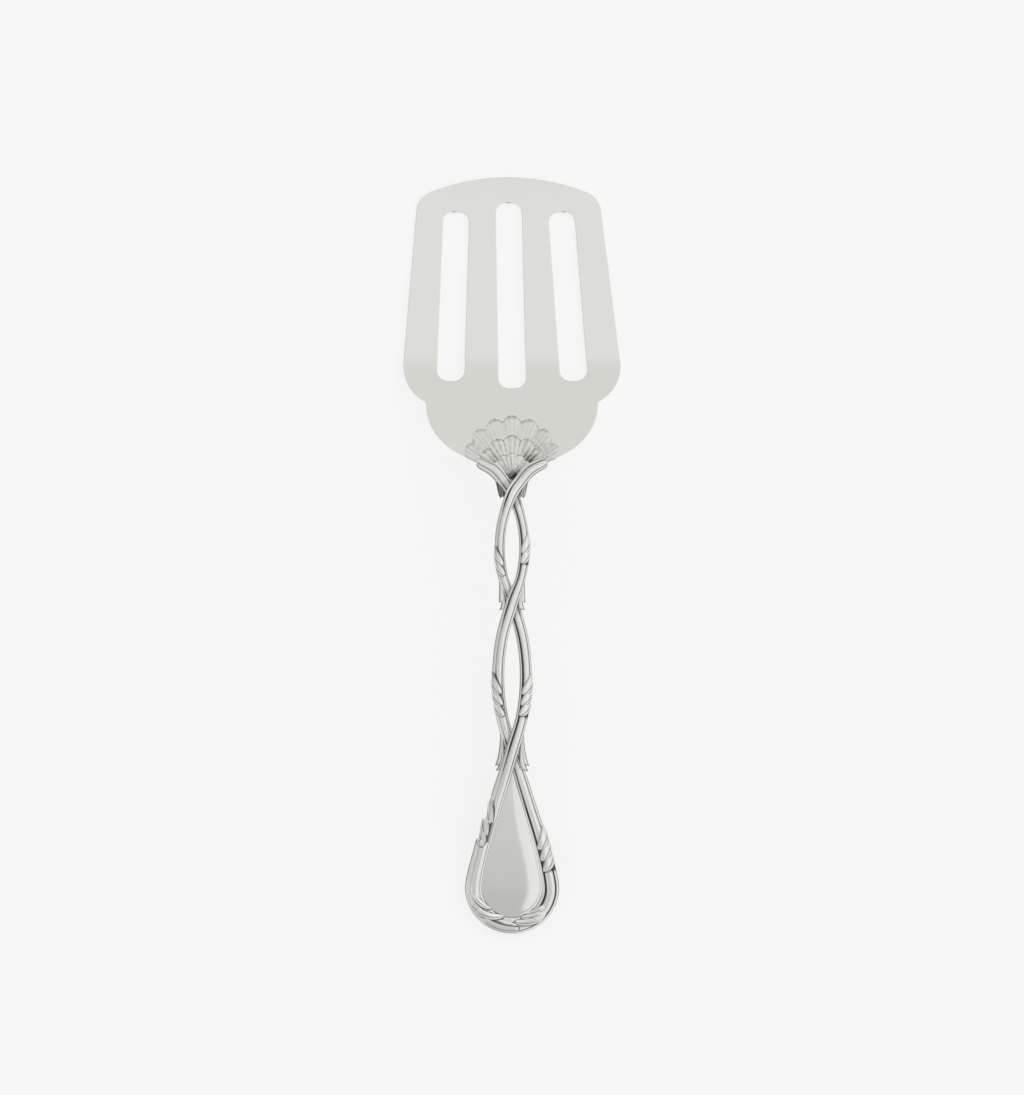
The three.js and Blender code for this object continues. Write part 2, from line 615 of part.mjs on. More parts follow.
function sprayGeometry(stem, outer) {
  const start = shareAt(stem, dropCentre);
  return joined(SPRAY.map((leaf, i) => leafOnStem(stem, outer, {
    from: between(start, 1, leaf.from / 90),
    to: between(start, 1, leaf.to / 90),
    fromAngle: THREE.MathUtils.degToRad(leaf.fromAngle),
    toAngle: THREE.MathUtils.degToRad(leaf.toAngle),
    width: leaf.width,
  }, i)));
}

// The left calyx of a crossing lies low, beside the upper stem, and the right one high, beside the lower
// stem, so one is the other turned half round the handle.
function calyxGeometry(hand, crossingY, calyx, rooms) {
  const rings = steps(5).map((s) => {
    const width = between(CALYX_TOP_WIDTH, CALYX_END_WIDTH, s ** CALYX_FLARE);
    const reach = between(calyx.topReach, calyx.endReach, s ** CALYX_FLARE);
    const y = crossingY + between(calyx.above, -calyx.below, s);
    const height = layerHeight(y, stemLift + hand * between(CALYX_TOP_OFFSET, CALYX_END_OFFSET, s));
    return reededRing({
      middle: new THREE.Vector3(hand * (reach - width / 2), y, height),
      across: new THREE.Vector3(-1, 0, 0),
      up: new THREE.Vector3(0, 0, 1),
      half: width / 2,
      depth: between(CALYX_TOP_THICKNESS, CALYX_THICKNESS, s) / 2,
    }, REED_DEPTH * s);
  });
  return geometryOf(rooms.reduce((left, room) => left.subtract(room), solidOf(loft(rings))));
}

// Palmette: each tier is a fan of lobes that follows the blade's heel, and the stems cut into its foot.

function palmetteTier({ radius, lobes, rise }, level) {
  const spread = PALMETTE_SPREAD * (1 - TIER_NARROWING * level);
  const foot = TIER_FOOT + TIER_FOOT_STEP * level;
  const turns = steps(lobes * LOBE_STEPS).map((s) => {
    const inLobe = ((s * lobes) % 1) * 2 - 1;
    const turn = between(-spread, spread, s);
    const short = 1 - PALMETTE_SIDE_SHORT * (turn / PALMETTE_SPREAD) ** 2;
    const nick = s === 1 ? 1 : inLobe ** 2;
    return { turn, nick, reach: radius * short * (1 - LOBE_DEPTH * nick) };
  });
  const point = ({ turn, nick, reach }, share, heightAt) => {
    const x = share * reach * Math.sin(turn);
    const y = fromTip(PALMETTE_FROM_TIP) + share * reach * Math.cos(turn);
    return new THREE.Vector3(x, y, layerHeight(y, BLADE_THICKNESS + SOLDER_GAP) + heightAt(share, nick));
  };
  const shares = [foot, 0.45, 0.8, 1];
  const grid = (heightAt) => shares.map((share) => turns.map((t) => point(t, share, heightAt)));
  const front = (share, nick) => rise * between(TIER_FOOT_RISE, 1, share) + LOBE_CROWN * share * (1 - nick);
  return solidOf(plate(grid(front), grid(() => level * TIER_STEP)));
}

function palmetteGeometry(rooms) {
  const tiers = PALMETTE_TIERS.map(palmetteTier).reduce((sum, tier) => sum.add(tier));
  return geometryOf(rooms.reduce((left, room) => left.subtract(room), tiers));
}

// Panel: fills the drop between the stems, domed on both faces.

function panelGeometry(stem, outer) {
  const inner = steps(STEM_STEPS * 2)
    .map((u) => stemSection(stem, u))
    .filter(({ middle }) => middle.y < fromTip(CROSSINGS_FROM_TIP.at(-1)))
    .map(({ middle, across, half }) => middle.clone().addScaledVector(across, -outer * (half + SOLDER_GAP)))
    .filter((p) => Math.abs(p.x) > PANEL_POINT && p.x * outer < 0);
  const top = inner[0].clone().setX(0);
  top.y += PANEL_POINT;
  const bottom = inner.at(-1).clone().setX(0);
  const half = inner.filter((_, i) => i % 2 === 0);
  const rim = [top, ...half, bottom, ...half.map((p) => new THREE.Vector3(-p.x, p.y, p.z)).reverse()];
  const middleY = between(bottom.y, top.y, PANEL_MIDDLE);
  const rings = (side) => PANEL_RINGS.map((share) => rim.map((p) => {
    const [x, y] = [share * p.x, between(middleY, p.y, share)];
    const height = side * (PANEL_EDGE / 2 + PANEL_CROWN * (1 - share ** 2));
    return new THREE.Vector3(x, y, layerHeight(y, stemLift + height));
  }));
  return loft([...rings(1).reverse(), ...rings(-1)]);
}

// Assembly

const fork = new THREE.Group();

function add(name, geometry, finish) {
  const mesh = new THREE.Mesh(geometry, new THREE.MeshStandardMaterial(finish));
  mesh.name = name;
  fork.add(mesh);
}

const rightStem = stemCurve(1);
const leftStem = stemCurve(-1);
const rooms = [rightStem, leftStem].map(stemRoom);

add('blade', bladeGeometry(), polished);
add('palmette', palmetteGeometry(rooms), chased);
add('right_stem', stemGeometry(rightStem), reeded);
add('left_stem', stemGeometry(leftStem), reeded);
add('drop_panel', panelGeometry(rightStem, 1), polished);

for (const sheath of SHEATHS) {
  add(sheath.name, sheathGeometry(sheath.hand > 0 ? rightStem : leftStem, sheath), chased);
}
CALYXES.forEach((calyx, i) => {
  const y = fromTip(CROSSINGS_FROM_TIP[i]);
  add(`${calyx.name}_calyx_left`, calyxGeometry(-1, y, calyx, rooms), chased);
  add(`${calyx.name}_calyx_right`, calyxGeometry(1, y, calyx, rooms), chased);
});
add('left_leaf_spray', sprayGeometry(rightStem, 1), chased);
add('right_leaf_spray', sprayGeometry(leftStem, -1), chased);

export default fork;
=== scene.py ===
"""A fish serving fork in silver: a pierced blade, a palmette, and a handle of two twined reeded stems."""

import math

import bmesh
import bpy
import numpy as np
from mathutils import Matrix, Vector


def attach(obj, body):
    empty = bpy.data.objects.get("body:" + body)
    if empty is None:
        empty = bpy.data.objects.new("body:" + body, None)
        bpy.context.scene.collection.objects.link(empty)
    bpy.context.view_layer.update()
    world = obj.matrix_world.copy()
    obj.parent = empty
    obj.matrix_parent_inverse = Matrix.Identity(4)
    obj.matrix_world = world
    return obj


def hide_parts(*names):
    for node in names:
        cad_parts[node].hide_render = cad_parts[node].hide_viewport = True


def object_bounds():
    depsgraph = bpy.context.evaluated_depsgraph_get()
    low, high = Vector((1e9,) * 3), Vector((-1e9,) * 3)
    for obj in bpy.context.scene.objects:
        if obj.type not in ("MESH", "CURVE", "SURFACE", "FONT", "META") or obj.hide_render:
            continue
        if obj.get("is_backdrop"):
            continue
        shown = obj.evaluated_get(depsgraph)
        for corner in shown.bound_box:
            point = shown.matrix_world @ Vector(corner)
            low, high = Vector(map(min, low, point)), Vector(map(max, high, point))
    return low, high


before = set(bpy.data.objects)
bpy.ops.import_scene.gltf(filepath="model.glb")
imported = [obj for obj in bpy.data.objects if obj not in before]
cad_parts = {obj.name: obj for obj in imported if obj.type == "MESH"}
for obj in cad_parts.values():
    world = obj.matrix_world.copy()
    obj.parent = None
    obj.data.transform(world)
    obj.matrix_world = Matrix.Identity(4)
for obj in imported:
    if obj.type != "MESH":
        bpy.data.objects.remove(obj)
cad_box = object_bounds()
scene = bpy.context.scene
MM = 0.001

# Blade
# A plate of silver, pierced with three slots. Outline and slots are sawn from flat sheet, the edges are
# rounded over, and then the tip is turned up and the heel cranked. Its tang carries the handle.

LENGTH = 245 * MM
TIP_Y = LENGTH / 2
BLADE_WIDTH = 70.5 * MM
BLADE_THICKNESS = 1.6 * MM
TIP_THICKNESS = 1.2 * MM
TIP_WIDTH = 59 * MM
TIP_CROWN = 6.6 * MM
TIP_CORNER = 4.5 * MM
TIP_LIFT = 0.7 * MM
TIP_LIFT_LENGTH = 12 * MM
TIP_DRIFT = 1.25 * MM
SHOULDER_FROM_TIP = 61 * MM
SHOULDER_RADIUS = 13.5 * MM
NOTCH_WIDTH = 55.7 * MM
HEEL_EDGE_FROM_TIP = 92.3 * MM
HEEL_EDGE_WIDTH = 22 * MM
NOTCH_PULL = 0.55
HEEL_PULL = 0.12
TANG_FILLET = 1.2 * MM
TANG_WIDTH = 6.4 * MM
TANG_FROM_TIP = 105.5 * MM
SLOT_TIP_WIDTH = 8.4 * MM
SLOT_HEEL_WIDTH = 8.8 * MM
MIDDLE_SLOT_FROM_TIP = 8.4 * MM
MIDDLE_SLOT_LENGTH = 60 * MM
OUTER_SLOT_FROM_TIP = 11.3 * MM
OUTER_SLOT_LENGTH = 54.7 * MM
OUTER_SLOT_TIP_OFFSET = 17.2 * MM
OUTER_SLOT_HEEL_OFFSET = 19.8 * MM
FLAT_LENGTH = 57 * MM
HEEL_RADIUS = 16 * MM
HEEL_ANGLE = math.radians(24)
NECK_FROM_TIP = 107 * MM
NECK_RADIUS = 40 * MM
STEM_THICKNESS = 2.4 * MM
DROP_STEM_WIDTH = 5.2 * MM
SOLDER_GAP = 0.3 * MM
SLOT_SQUARENESS = 2.7
SLOT_END_SHADE_REACH = 0.8 * MM
# Painted shadow over the tang under the palmette and stems: where along the fork it begins and is full, and
# how dark.
TANG_DARK = (29 * MM, 26 * MM)
TANG_SHADE = 0.65
EDGE_ROUND = 0.2 * MM
EDGE_FLAT = 0.15 * MM
EDGE_RINGS = 4
OUTLINE_POINTS = {"tip": 50, "corner": 16, "flank": 40, "heel": 44, "fillet": 16, "tang": 14}
SLOT_END_POINTS = 29
BEND_CUTS = (9, 11, 15)
MERGE_DISTANCE = 0.002 * MM
SETTLING_ROUNDS = 12
SLOPE_STEP = 0.2 * MM


def from_tip(distance):
    return TIP_Y - distance


def between(low, high, share):
    return low + (high - low) * share


def smooth(low, high, value):
    """0 below low and 1 above high, with a soft rise between them. value is an array or a wire."""
    share = ((value - low) / (high - low)).clip(0.0, 1.0)
    return share * share * (3 - 2 * share)


heel_start = from_tip(FLAT_LENGTH)
neck = from_tip(NECK_FROM_TIP)
heel_run = HEEL_RADIUS * math.sin(HEEL_ANGLE)
crest_run = NECK_RADIUS * math.sin(HEEL_ANGLE)
ramp_start = heel_start - heel_run
ramp_run = ramp_start - neck - crest_run
crest_rise = NECK_RADIUS * (1 - math.cos(HEEL_ANGLE))
neck_height = HEEL_RADIUS * (1 - math.cos(HEEL_ANGLE)) + ramp_run * math.tan(HEEL_ANGLE) + crest_rise
stem_rise = (STEM_THICKNESS + SOLDER_GAP) / 2
stem_lift = BLADE_THICKNESS + SOLDER_GAP + STEM_THICKNESS / 2 + stem_rise

# The handle falls until its end rests on the table, and a few rounds settle its fall and its run.
handle_fall = neck_height
drop_end = -TIP_Y
for _ in range(SETTLING_ROUNDS):
    handle_run = neck - drop_end
    end_slope = 2 * handle_fall / handle_run
    stretch = math.hypot(1, end_slope)
    drop_end = -TIP_Y + DROP_STEM_WIDTH / 2 / stretch
    handle_fall = neck_height + stem_lift * stretch
    handle_fall -= math.hypot(DROP_STEM_WIDTH / 2 * end_slope, STEM_THICKNESS / 2) / stretch


def underside(y):
    """Height of the blade's underside at a distance y along the fork, carried on under the handle."""
    lip = (y - from_tip(TIP_LIFT_LENGTH)).clip(0.0, TIP_LIFT_LENGTH)
    bend = (heel_start - y).clip(0.0, heel_run)
    ramp = (ramp_start - y).clip(0.0, ramp_run)
    crest = (y - neck).clip(0.0, crest_run)
    handle = (neck - y).clip(0.0, LENGTH)
    rise = (lip / TIP_LIFT_LENGTH) ** 2 * TIP_LIFT
    rise = rise + HEEL_RADIUS - (HEEL_RADIUS**2 - bend**2) ** 0.5 + ramp * math.tan(HEEL_ANGLE)
    rise = rise + crest_rise - NECK_RADIUS + (NECK_RADIUS**2 - crest**2) ** 0.5
    return rise - (handle / handle_run) ** 2 * handle_fall


def slope(y):
    return (underside(y + SLOPE_STEP) - underside(y - SLOPE_STEP)) / (2 * SLOPE_STEP)


def layer_height(y, distance):
    """Height of a layer that lies a set distance off the underside, measured square to it."""
    return underside(y) + distance * (1 + slope(y) ** 2) ** 0.5


def unit(rows):
    """Directions made 1 long."""
    return rows / np.linalg.norm(rows, axis=-1, keepdims=True)


def arc(x, y, radius, start, end, count):
    turns = np.linspace(start, end, count)
    return np.stack([x + radius * np.cos(turns), y + radius * np.sin(turns)], 1)


def bezier(points, count):
    shares = np.linspace(0, 1, count)[:, None, None]
    rows = np.repeat(np.array(points)[None], count, 0)
    while rows.shape[1] > 1:
        rows = rows[:, :-1] * (1 - shares) + rows[:, 1:] * shares
    return rows[:, 0]


def blade_outline():
    """The outline from the middle of the tip round the right side to the tang, and back up the left."""
    points = OUTLINE_POINTS
    half = TIP_WIDTH / 2
    tip_radius = (half**2 + TIP_CROWN**2) / (2 * TIP_CROWN)
    corner_turn = math.acos(half / tip_radius) + TIP_CORNER / tip_radius
    corner = np.array([half, TIP_Y - TIP_CROWN])
    shoulder = np.array([BLADE_WIDTH / 2, from_tip(SHOULDER_FROM_TIP)])
    side_start = corner + TIP_CORNER * unit(shoulder - corner)
    shoulder_x = shoulder[0] - SHOULDER_RADIUS
    notch_turn = math.acos((NOTCH_WIDTH / 2 - shoulder_x) / SHOULDER_RADIUS)
    heel_end = np.array([HEEL_EDGE_WIDTH / 2, from_tip(HEEL_EDGE_FROM_TIP)])
    tang_end = from_tip(TANG_FROM_TIP)
    tang_half = TANG_WIDTH / 2
    tip = arc(0, TIP_Y - tip_radius, tip_radius, math.pi / 2, corner_turn, points["tip"])
    rounded = bezier([tip[-1], corner, side_start], points["corner"])
    flank = arc(shoulder_x, shoulder[1], SHOULDER_RADIUS, 0, -notch_turn, points["flank"])
    notch = flank[-1]
    fall = notch[1] - heel_end[1]
    pull = [(heel_end[0] + notch[0]) / 2, heel_end[1] + HEEL_PULL * fall]
    notch_pull = [notch[0], notch[1] - NOTCH_PULL * fall]
    heel = bezier([notch, notch_pull, pull, heel_end], points["heel"])
    tang_top = [tang_half, (heel_end[1] + tang_end) / 2]
    fillet = bezier([heel_end, [tang_half, heel_end[1] - TANG_FILLET], tang_top], points["fillet"])
    end = arc(0, tang_end + tang_half, tang_half, 0, -math.pi / 2, points["tang"])
    side = np.concatenate([tip, rounded[1:], flank, heel[1:], fillet[1:], end])
    return np.concatenate([side, side[-2:0:-1] * [-1, 1]])[::-1]


def slot_outline(tip_x, heel_x, tip_y, heel_y):
    """A slot with squared round ends of two sizes, run so that the silver lies on its left."""
    tip_radius = SLOT_TIP_WIDTH / 2
    heel_radius = SLOT_HEEL_WIDTH / 2
    tip = np.array([tip_x, tip_y - tip_radius])
    heel = np.array([heel_x, heel_y + heel_radius])
    ahead = unit(tip - heel)
    aside = np.array([-ahead[1], ahead[0]])
    turns = np.linspace(-math.pi / 2, math.pi / 2, SLOT_END_POINTS)
    reach = abs(np.cos(turns)) ** (2 / SLOT_SQUARENESS)
    swing = np.sign(turns) * abs(np.sin(turns)) ** (2 / SLOT_SQUARENESS)
    end = reach[:, None] * ahead + swing[:, None] * aside
    return np.concatenate([tip + tip_radius * end, heel - heel_radius * end])[::-1]


def inset(loop, distance):
    """A closed outline moved to its left, into the silver."""
    ahead = unit(np.roll(loop, -1, 0) - loop)
    lefts = np.stack([-ahead[:, 1], ahead[:, 0]], 1)
    middle = lefts + np.roll(lefts, 1, 0)
    return loop + distance * 2 * middle / (middle**2).sum(1)[:, None]


def edge_profile():
    """Rings of the rounded edge from front to back: inset, share of the thickness, height off it."""
    turns = np.linspace(0, math.pi / 2, EDGE_RINGS)
    rounding = [(EDGE_ROUND * (1 - math.sin(t)), EDGE_ROUND * (1 - math.cos(t))) for t in turns]
    front = [(EDGE_ROUND + EDGE_FLAT, 0)] + rounding
    return [(i, 1, -h) for i, h in front] + [(i, 0, h) for i, h in front[::-1]]


def as_mesh(work, name):
    mesh = bpy.data.meshes.new(name)
    work.to_mesh(mesh)
    work.free()
    return mesh


def blade_mesh():
    slots = [slot_outline(0, 0, from_tip(MIDDLE_SLOT_FROM_TIP),
                          from_tip(MIDDLE_SLOT_FROM_TIP + MIDDLE_SLOT_LENGTH))]
    for side in (1, -1):
        slots.append(slot_outline(
            side * OUTER_SLOT_TIP_OFFSET, side * OUTER_SLOT_HEEL_OFFSET, from_tip(OUTER_SLOT_FROM_TIP),
            from_tip(OUTER_SLOT_FROM_TIP + OUTER_SLOT_LENGTH)))
    plate = bmesh.new()
    tarnish_and_shade = plate.verts.layers.float.new("tarnish_and_shade")
    faces = {"front": [], "back": []}
    for loop in [blade_outline(), *slots]:
        top = loop[np.argmax(loop[:, 1])]
        rings = []
        for distance, share, height in edge_profile():
            level = share + height / BLADE_THICKNESS
            rings.append([plate.verts.new((x, y, level)) for x, y in inset(loop, distance)])
        # Painted shade: a small dark spot at the top end of each slot, where its sawn wall lies in shade.
        if len(loop) == len(slots[0]):
            for vert in sum(rings[1:-1], []):
                away = math.dist(vert.co[:2], top) / SLOT_END_SHADE_REACH
                vert[tarnish_and_shade] = max(0, 1 - away)
        else:
            # Painted shadow over the tang, carried by the outline's rings onto its faces.
            for vert in sum(rings[: EDGE_RINGS + 1], []):
                vert[tarnish_and_shade] = TANG_SHADE * smooth(*TANG_DARK, np.float64(vert.co.y))
        for upper, lower in zip(rings, rings[1:]):
            for j in range(len(loop)):
                plate.faces.new((upper[j - 1], lower[j - 1], lower[j], upper[j]))
        for face, ring in (("front", rings[0]), ("back", rings[-1])):
            faces[face] += [plate.edges.get((ring[j - 1], ring[j])) for j in range(len(ring))]
    for edges in faces.values():
        bmesh.ops.triangle_fill(plate, use_beauty=True, edges=edges)
    bends = [(TIP_Y, from_tip(TIP_LIFT_LENGTH)), (heel_start, ramp_start),
             (ramp_start - ramp_run, from_tip(TANG_FROM_TIP))]
    for (start, end), count in zip(bends, BEND_CUTS):
        for y in np.linspace(start, end, count):
            everything = plate.verts[:] + plate.edges[:] + plate.faces[:]
            bmesh.ops.bisect_plane(plate, geom=everything, plane_co=(0, y, 0), plane_no=(0, 1, 0))
    bmesh.ops.remove_doubles(plate, verts=plate.verts, dist=MERGE_DISTANCE)
    bmesh.ops.recalc_face_normals(plate, faces=plate.faces)
    mesh = as_mesh(plate, "blade_plate")
    place = np.array([v.co for v in mesh.vertices])
    x, y, level = place.T
    thickness = between(TIP_THICKNESS, BLADE_THICKNESS, ((TIP_Y - y) / FLAT_LENGTH).clip(0.0, 1.0))
    x = x - TIP_DRIFT * (1 - (TIP_Y - y) / SHOULDER_FROM_TIP).clip(0.0, 1.0)
    bent = np.stack([x, y, layer_height(y, level * thickness)], 1)
    mesh.vertices.foreach_set("co", bent.ravel())
    mesh.update()
    return mesh


def joiner(operation, swapped=False):
    """A method that joins a wire with another value, in this order or swapped."""

    def join(wire, other):
        return wire.joined(operation, *((other, wire) if swapped else (wire, other)))

    return join


class Wire:
    """One output of a node. A sum written with wires adds the nodes that work it out."""

    def __init__(self, plan, socket):
        self.plan = plan
        self.socket = socket
        self.vector = socket.type in ("VECTOR", "RGBA")

    def maths(self, operation, *others):
        return self.plan.node("ShaderNodeMath", {"operation": operation}, dict(enumerate((self, *others))))

    def joined(self, operation, first, second):
        vectors = [isinstance(value, Wire) and value.vector for value in (first, second)]
        if not any(vectors):
            return self.plan.node("ShaderNodeMath", {"operation": operation}, {0: first, 1: second})
        if operation == "MULTIPLY" and not all(vectors):
            whole, factor = (first, second) if vectors[0] else (second, first)
            settings = {"operation": "SCALE"}
            return self.plan.node("ShaderNodeVectorMath", settings, {"Vector": whole, "Scale": factor})
        return self.plan.node("ShaderNodeVectorMath", {"operation": operation}, {0: first, 1: second})

    def clip(self, low, high):
        return self.plan.node("ShaderNodeClamp", {}, {"Value": self, "Min": low, "Max": high})

    def __abs__(self):
        return self.maths("ABSOLUTE")

    __add__ = joiner("ADD")
    __radd__ = joiner("ADD", swapped=True)
    __sub__ = joiner("SUBTRACT")
    __rsub__ = joiner("SUBTRACT", swapped=True)
    __mul__ = joiner("MULTIPLY")
    __rmul__ = joiner("MULTIPLY", swapped=True)
    __truediv__ = joiner("DIVIDE")
    __pow__ = joiner("POWER")


class Plan:
    """A node tree that is being drawn up."""

    def __init__(self, tree):
        self.tree = tree

    def node(self, kind, settings=None, sockets=None, out=None):
        """Adds a node, its settings first and then its sockets' values or links, and gives an output."""
        made = self.tree.nodes.new(kind)
        for name, value in (settings or {}).items():
            setattr(made, name, value)
        for key, value in (sockets or {}).items():
            named = [s for s in made.inputs if s.name == key and s.enabled]
            socket = made.inputs[key] if isinstance(key, int) else named[0]
            if isinstance(value, Wire):
                self.tree.links.new(value.socket, socket)
            else:
                socket.default_value = value
        outputs = [s for s in made.outputs if s.enabled and out in (None, s.name)]
        return Wire(self, outputs[0])

    def link(self, wire, socket):
        self.tree.links.new(wire.socket, socket)

    def parts(self, vector):
        """The three numbers of a vector."""
        return [self.node("ShaderNodeSeparateXYZ", {}, {"Vector": vector}, axis) for axis in "XYZ"]

    def mixed(self, share, first, second):
        """A colour that lies a share of the way from the first to the second."""
        colours = {"Factor": share, "A": first, "B": second}
        return self.node("ShaderNodeMix", {"data_type": "RGBA"}, colours)


SILVER_TONE = (0.934, 0.936, 0.905, 1)
# Dark tone of tarnish, also used for painted shade.
TARNISH_AND_SHADE_TONE = (0.045, 0.043, 0.038, 1)
CLOUDS = {"Scale": 55, "Detail": 3}
PATCHES = {"Scale": 800, "Detail": 1}
STROKES = {"Scale": 900, "Detail": 2}
STROKE_HEIGHT = 0.004 * MM
LONG_STROKES = (1, 0.12, 1)
ROUND_STROKES = (1, 1, 1)
PATCH_EDGE = (0.42, 0.58)
DARKENING_RANGE = (0.75, 1.25)
CLOUD_GLOSS = 0.09
STROKE_GLOSS = 0.07
DARKENING_GLOSS = 0.25
SHARP_ANGLE = math.radians(55)


def silver(name, roughness, stroke_lengths, darkening_strength, worn=0.0):
    """Silver with fine polishing strokes, faint clouds in its gloss, dark tarnish in its grooves and painted
    shade.
    """
    material = bpy.data.materials.new(name)
    material.use_nodes = True
    plan = Plan(material.node_tree)
    shader = material.node_tree.nodes["Principled BSDF"]
    shader.inputs["Metallic"].default_value = 1
    place = plan.node("ShaderNodeTexCoord", out="Object")
    along = plan.node("ShaderNodeMapping", {}, {"Vector": place, "Scale": stroke_lengths})
    grains = ((place, CLOUDS), (along, STROKES), (place, PATCHES))
    clouds, strokes, patches = (
        plan.node("ShaderNodeTexNoise", {}, {"Vector": where, **grain}, "Fac") for where, grain in grains)
    # One mark darkens the silver: tarnish in grooves and crevices, and painted shade under, beside and along
    # pieces.
    tarnish_and_shade = plan.node("ShaderNodeAttribute", {"attribute_name": "tarnish_and_shade"}, {}, "Fac")
    rubbed = 1 - worn * smooth(*PATCH_EDGE, patches) * (1 - tarnish_and_shade * tarnish_and_shade)
    darkening = (tarnish_and_shade * between(*DARKENING_RANGE, clouds)).clip(0.0, 1.0) * rubbed * darkening_strength
    plan.link(plan.mixed(darkening, SILVER_TONE, TARNISH_AND_SHADE_TONE), shader.inputs["Base Color"])
    gloss = roughness + CLOUD_GLOSS * (clouds - 0.5) + STROKE_GLOSS * (strokes - 0.5) + DARKENING_GLOSS * darkening
    plan.link(gloss, shader.inputs["Roughness"])
    bump = {"Height": strokes, "Strength": 1, "Distance": STROKE_HEIGHT}
    plan.link(plan.node("ShaderNodeBump", {}, bump), shader.inputs["Normal"])
    return material


def dress(name, node, slot, material, *meshes):
    """Joins meshes into one piece that stands for a CAD node."""
    objects = [bpy.data.objects.new(name, mesh) for mesh in meshes]
    for each in objects:
        scene.collection.objects.link(each)
    piece = objects[0]
    with bpy.context.temp_override(active_object=piece, selected_editable_objects=objects):
        bpy.ops.object.join()
    piece.data.materials.clear()
    piece.data.materials.append(material)
    piece.data.shade_smooth()
    piece.data.set_sharp_from_angle(angle=SHARP_ANGLE)
    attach(piece, "root")
    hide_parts(node)
    return piece


polished = silver("polished_silver", roughness=0.24, stroke_lengths=LONG_STROKES, darkening_strength=0.7)
dress("blade_plate", "blade", "polished_silver", polished, blade_mesh())

# Palmette
# A fan of three tiers of lobed leaves, cast and then chased with fine flutes, which is soldered to the
# front of the heel. Each tier's lobes are one lobe repeated round the fan's foot and draped on the heel.

PALMETTE_FROM_TIP = 97.8 * MM
PALMETTE_SPREAD = math.radians(66)
PALMETTE_SIDE_SHORT = 0.16
LOBE_DEPTH = 0.09
LOBE_CROWN = 0.35 * MM
LOBE_SINK = 0.2 * MM
TIER_NARROWING = 0.06
TIER_FOOT = 0.03
TIER_FOOT_RISE = 0.6
LOBE_EDGE = 0.05
LOBE_BEVEL = 0.5
SIDE_BEVEL_LOSS = 0.8
LOBE_RIM = (0.88, 1.0)
PARTING_END = (0.6, 0.95)
LOBE_ROWS = 40
LOBE_COLUMNS = 49
PALMETTE_TIERS = (
    {"Radius": 20.4 * MM, "Rise": 1.1 * MM, "Lobes": 7, "Flutes": 4.0, "Flute Depth": 0.025 * MM,
     "Dark": 0.22, "Parting": 0.2, "Shadow": 0.3},
    {"Radius": 14 * MM, "Rise": 1.65 * MM, "Lobes": 5, "Flutes": 3.0, "Flute Depth": 0.06 * MM,
     "Dark": 0.45, "Parting": 0.5, "Shadow": 0.75},
    {"Radius": 8.3 * MM, "Rise": 2.2 * MM, "Lobes": 5, "Flutes": 2.0, "Flute Depth": 0.12 * MM,
     "Dark": 0.45, "Parting": 1.0, "Shadow": 0.3},
)
# Painted shade on the fan: at its foot, as a shadow over its sides, in its partings and flutes, and on its
# rims.
FOOT_SHADE = (0.55, 0.1)
FOOT_SHADE_LEAN = 0.5
SHADOW_TURN = (0.2, 0.75)
SHADOW_REACH = (1, 0.6)
LEFT_SHADOW = 0.35
RIM_SHADE = (0.1, 0.6)
FLUTE_SHADE = (0.3, 0.55)
LOBE_LINE = (0.95, 0)
INPUT_KINDS = {float: "NodeSocketFloat", int: "NodeSocketInt"}


def new_tree(name, numbers):
    """A geometry tree with named number inputs and a material, and the wires of its inputs."""
    tree = bpy.data.node_groups.new(name, "GeometryNodeTree")
    tree.interface.new_socket("Geometry", in_out="INPUT", socket_type="NodeSocketGeometry")
    for label, kind in numbers.items():
        tree.interface.new_socket(label, in_out="INPUT", socket_type=INPUT_KINDS[kind])
    tree.interface.new_socket("Material", in_out="INPUT", socket_type="NodeSocketMaterial")
    tree.interface.new_socket("Geometry", in_out="OUTPUT", socket_type="NodeSocketGeometry")
    plan = Plan(tree)
    entry = tree.nodes.new("NodeGroupInput")
    return plan, {socket.name: Wire(plan, socket) for socket in entry.outputs if socket.name}


def close_tree(plan, geometry, material):
    """Ends a tree: what repeats becomes plain geometry with its material."""
    plain = plan.node("GeometryNodeRealizeInstances", {}, {"Geometry": geometry})
    dressed = plan.node("GeometryNodeSetMaterial", {}, {"Geometry": plain, "Material": material})
    plan.link(dressed, plan.tree.nodes.new("NodeGroupOutput").inputs[0])
    return plan.tree


def made_by(tree, base, values):
    """The plain mesh that a tree makes of a base mesh with these input values."""
    holder = bpy.data.objects.new("holder", base)
    scene.collection.objects.link(holder)
    modifier = holder.modifiers.new("maker", "NODES")
    modifier.node_group = tree
    for socket in tree.interface.items_tree:
        if socket.in_out == "INPUT" and socket.name in values:
            modifier[socket.identifier] = values[socket.name]
    seen = holder.evaluated_get(bpy.context.evaluated_depsgraph_get())
    mesh = bpy.data.meshes.new_from_object(seen)
    bpy.data.objects.remove(holder)
    return mesh


def kept(plan, geometry, name, value):
    """Geometry with a number stored on its points."""
    settings = {"data_type": "FLOAT", "domain": "POINT"}
    return plan.node("GeometryNodeStoreNamedAttribute", settings,
                     {"Geometry": geometry, "Name": name, "Value": value})


def recalled(plan, name, data_type="FLOAT"):
    settings = {"data_type": data_type}
    return plan.node("GeometryNodeInputNamedAttribute", settings, {"Name": name}, "Attribute")


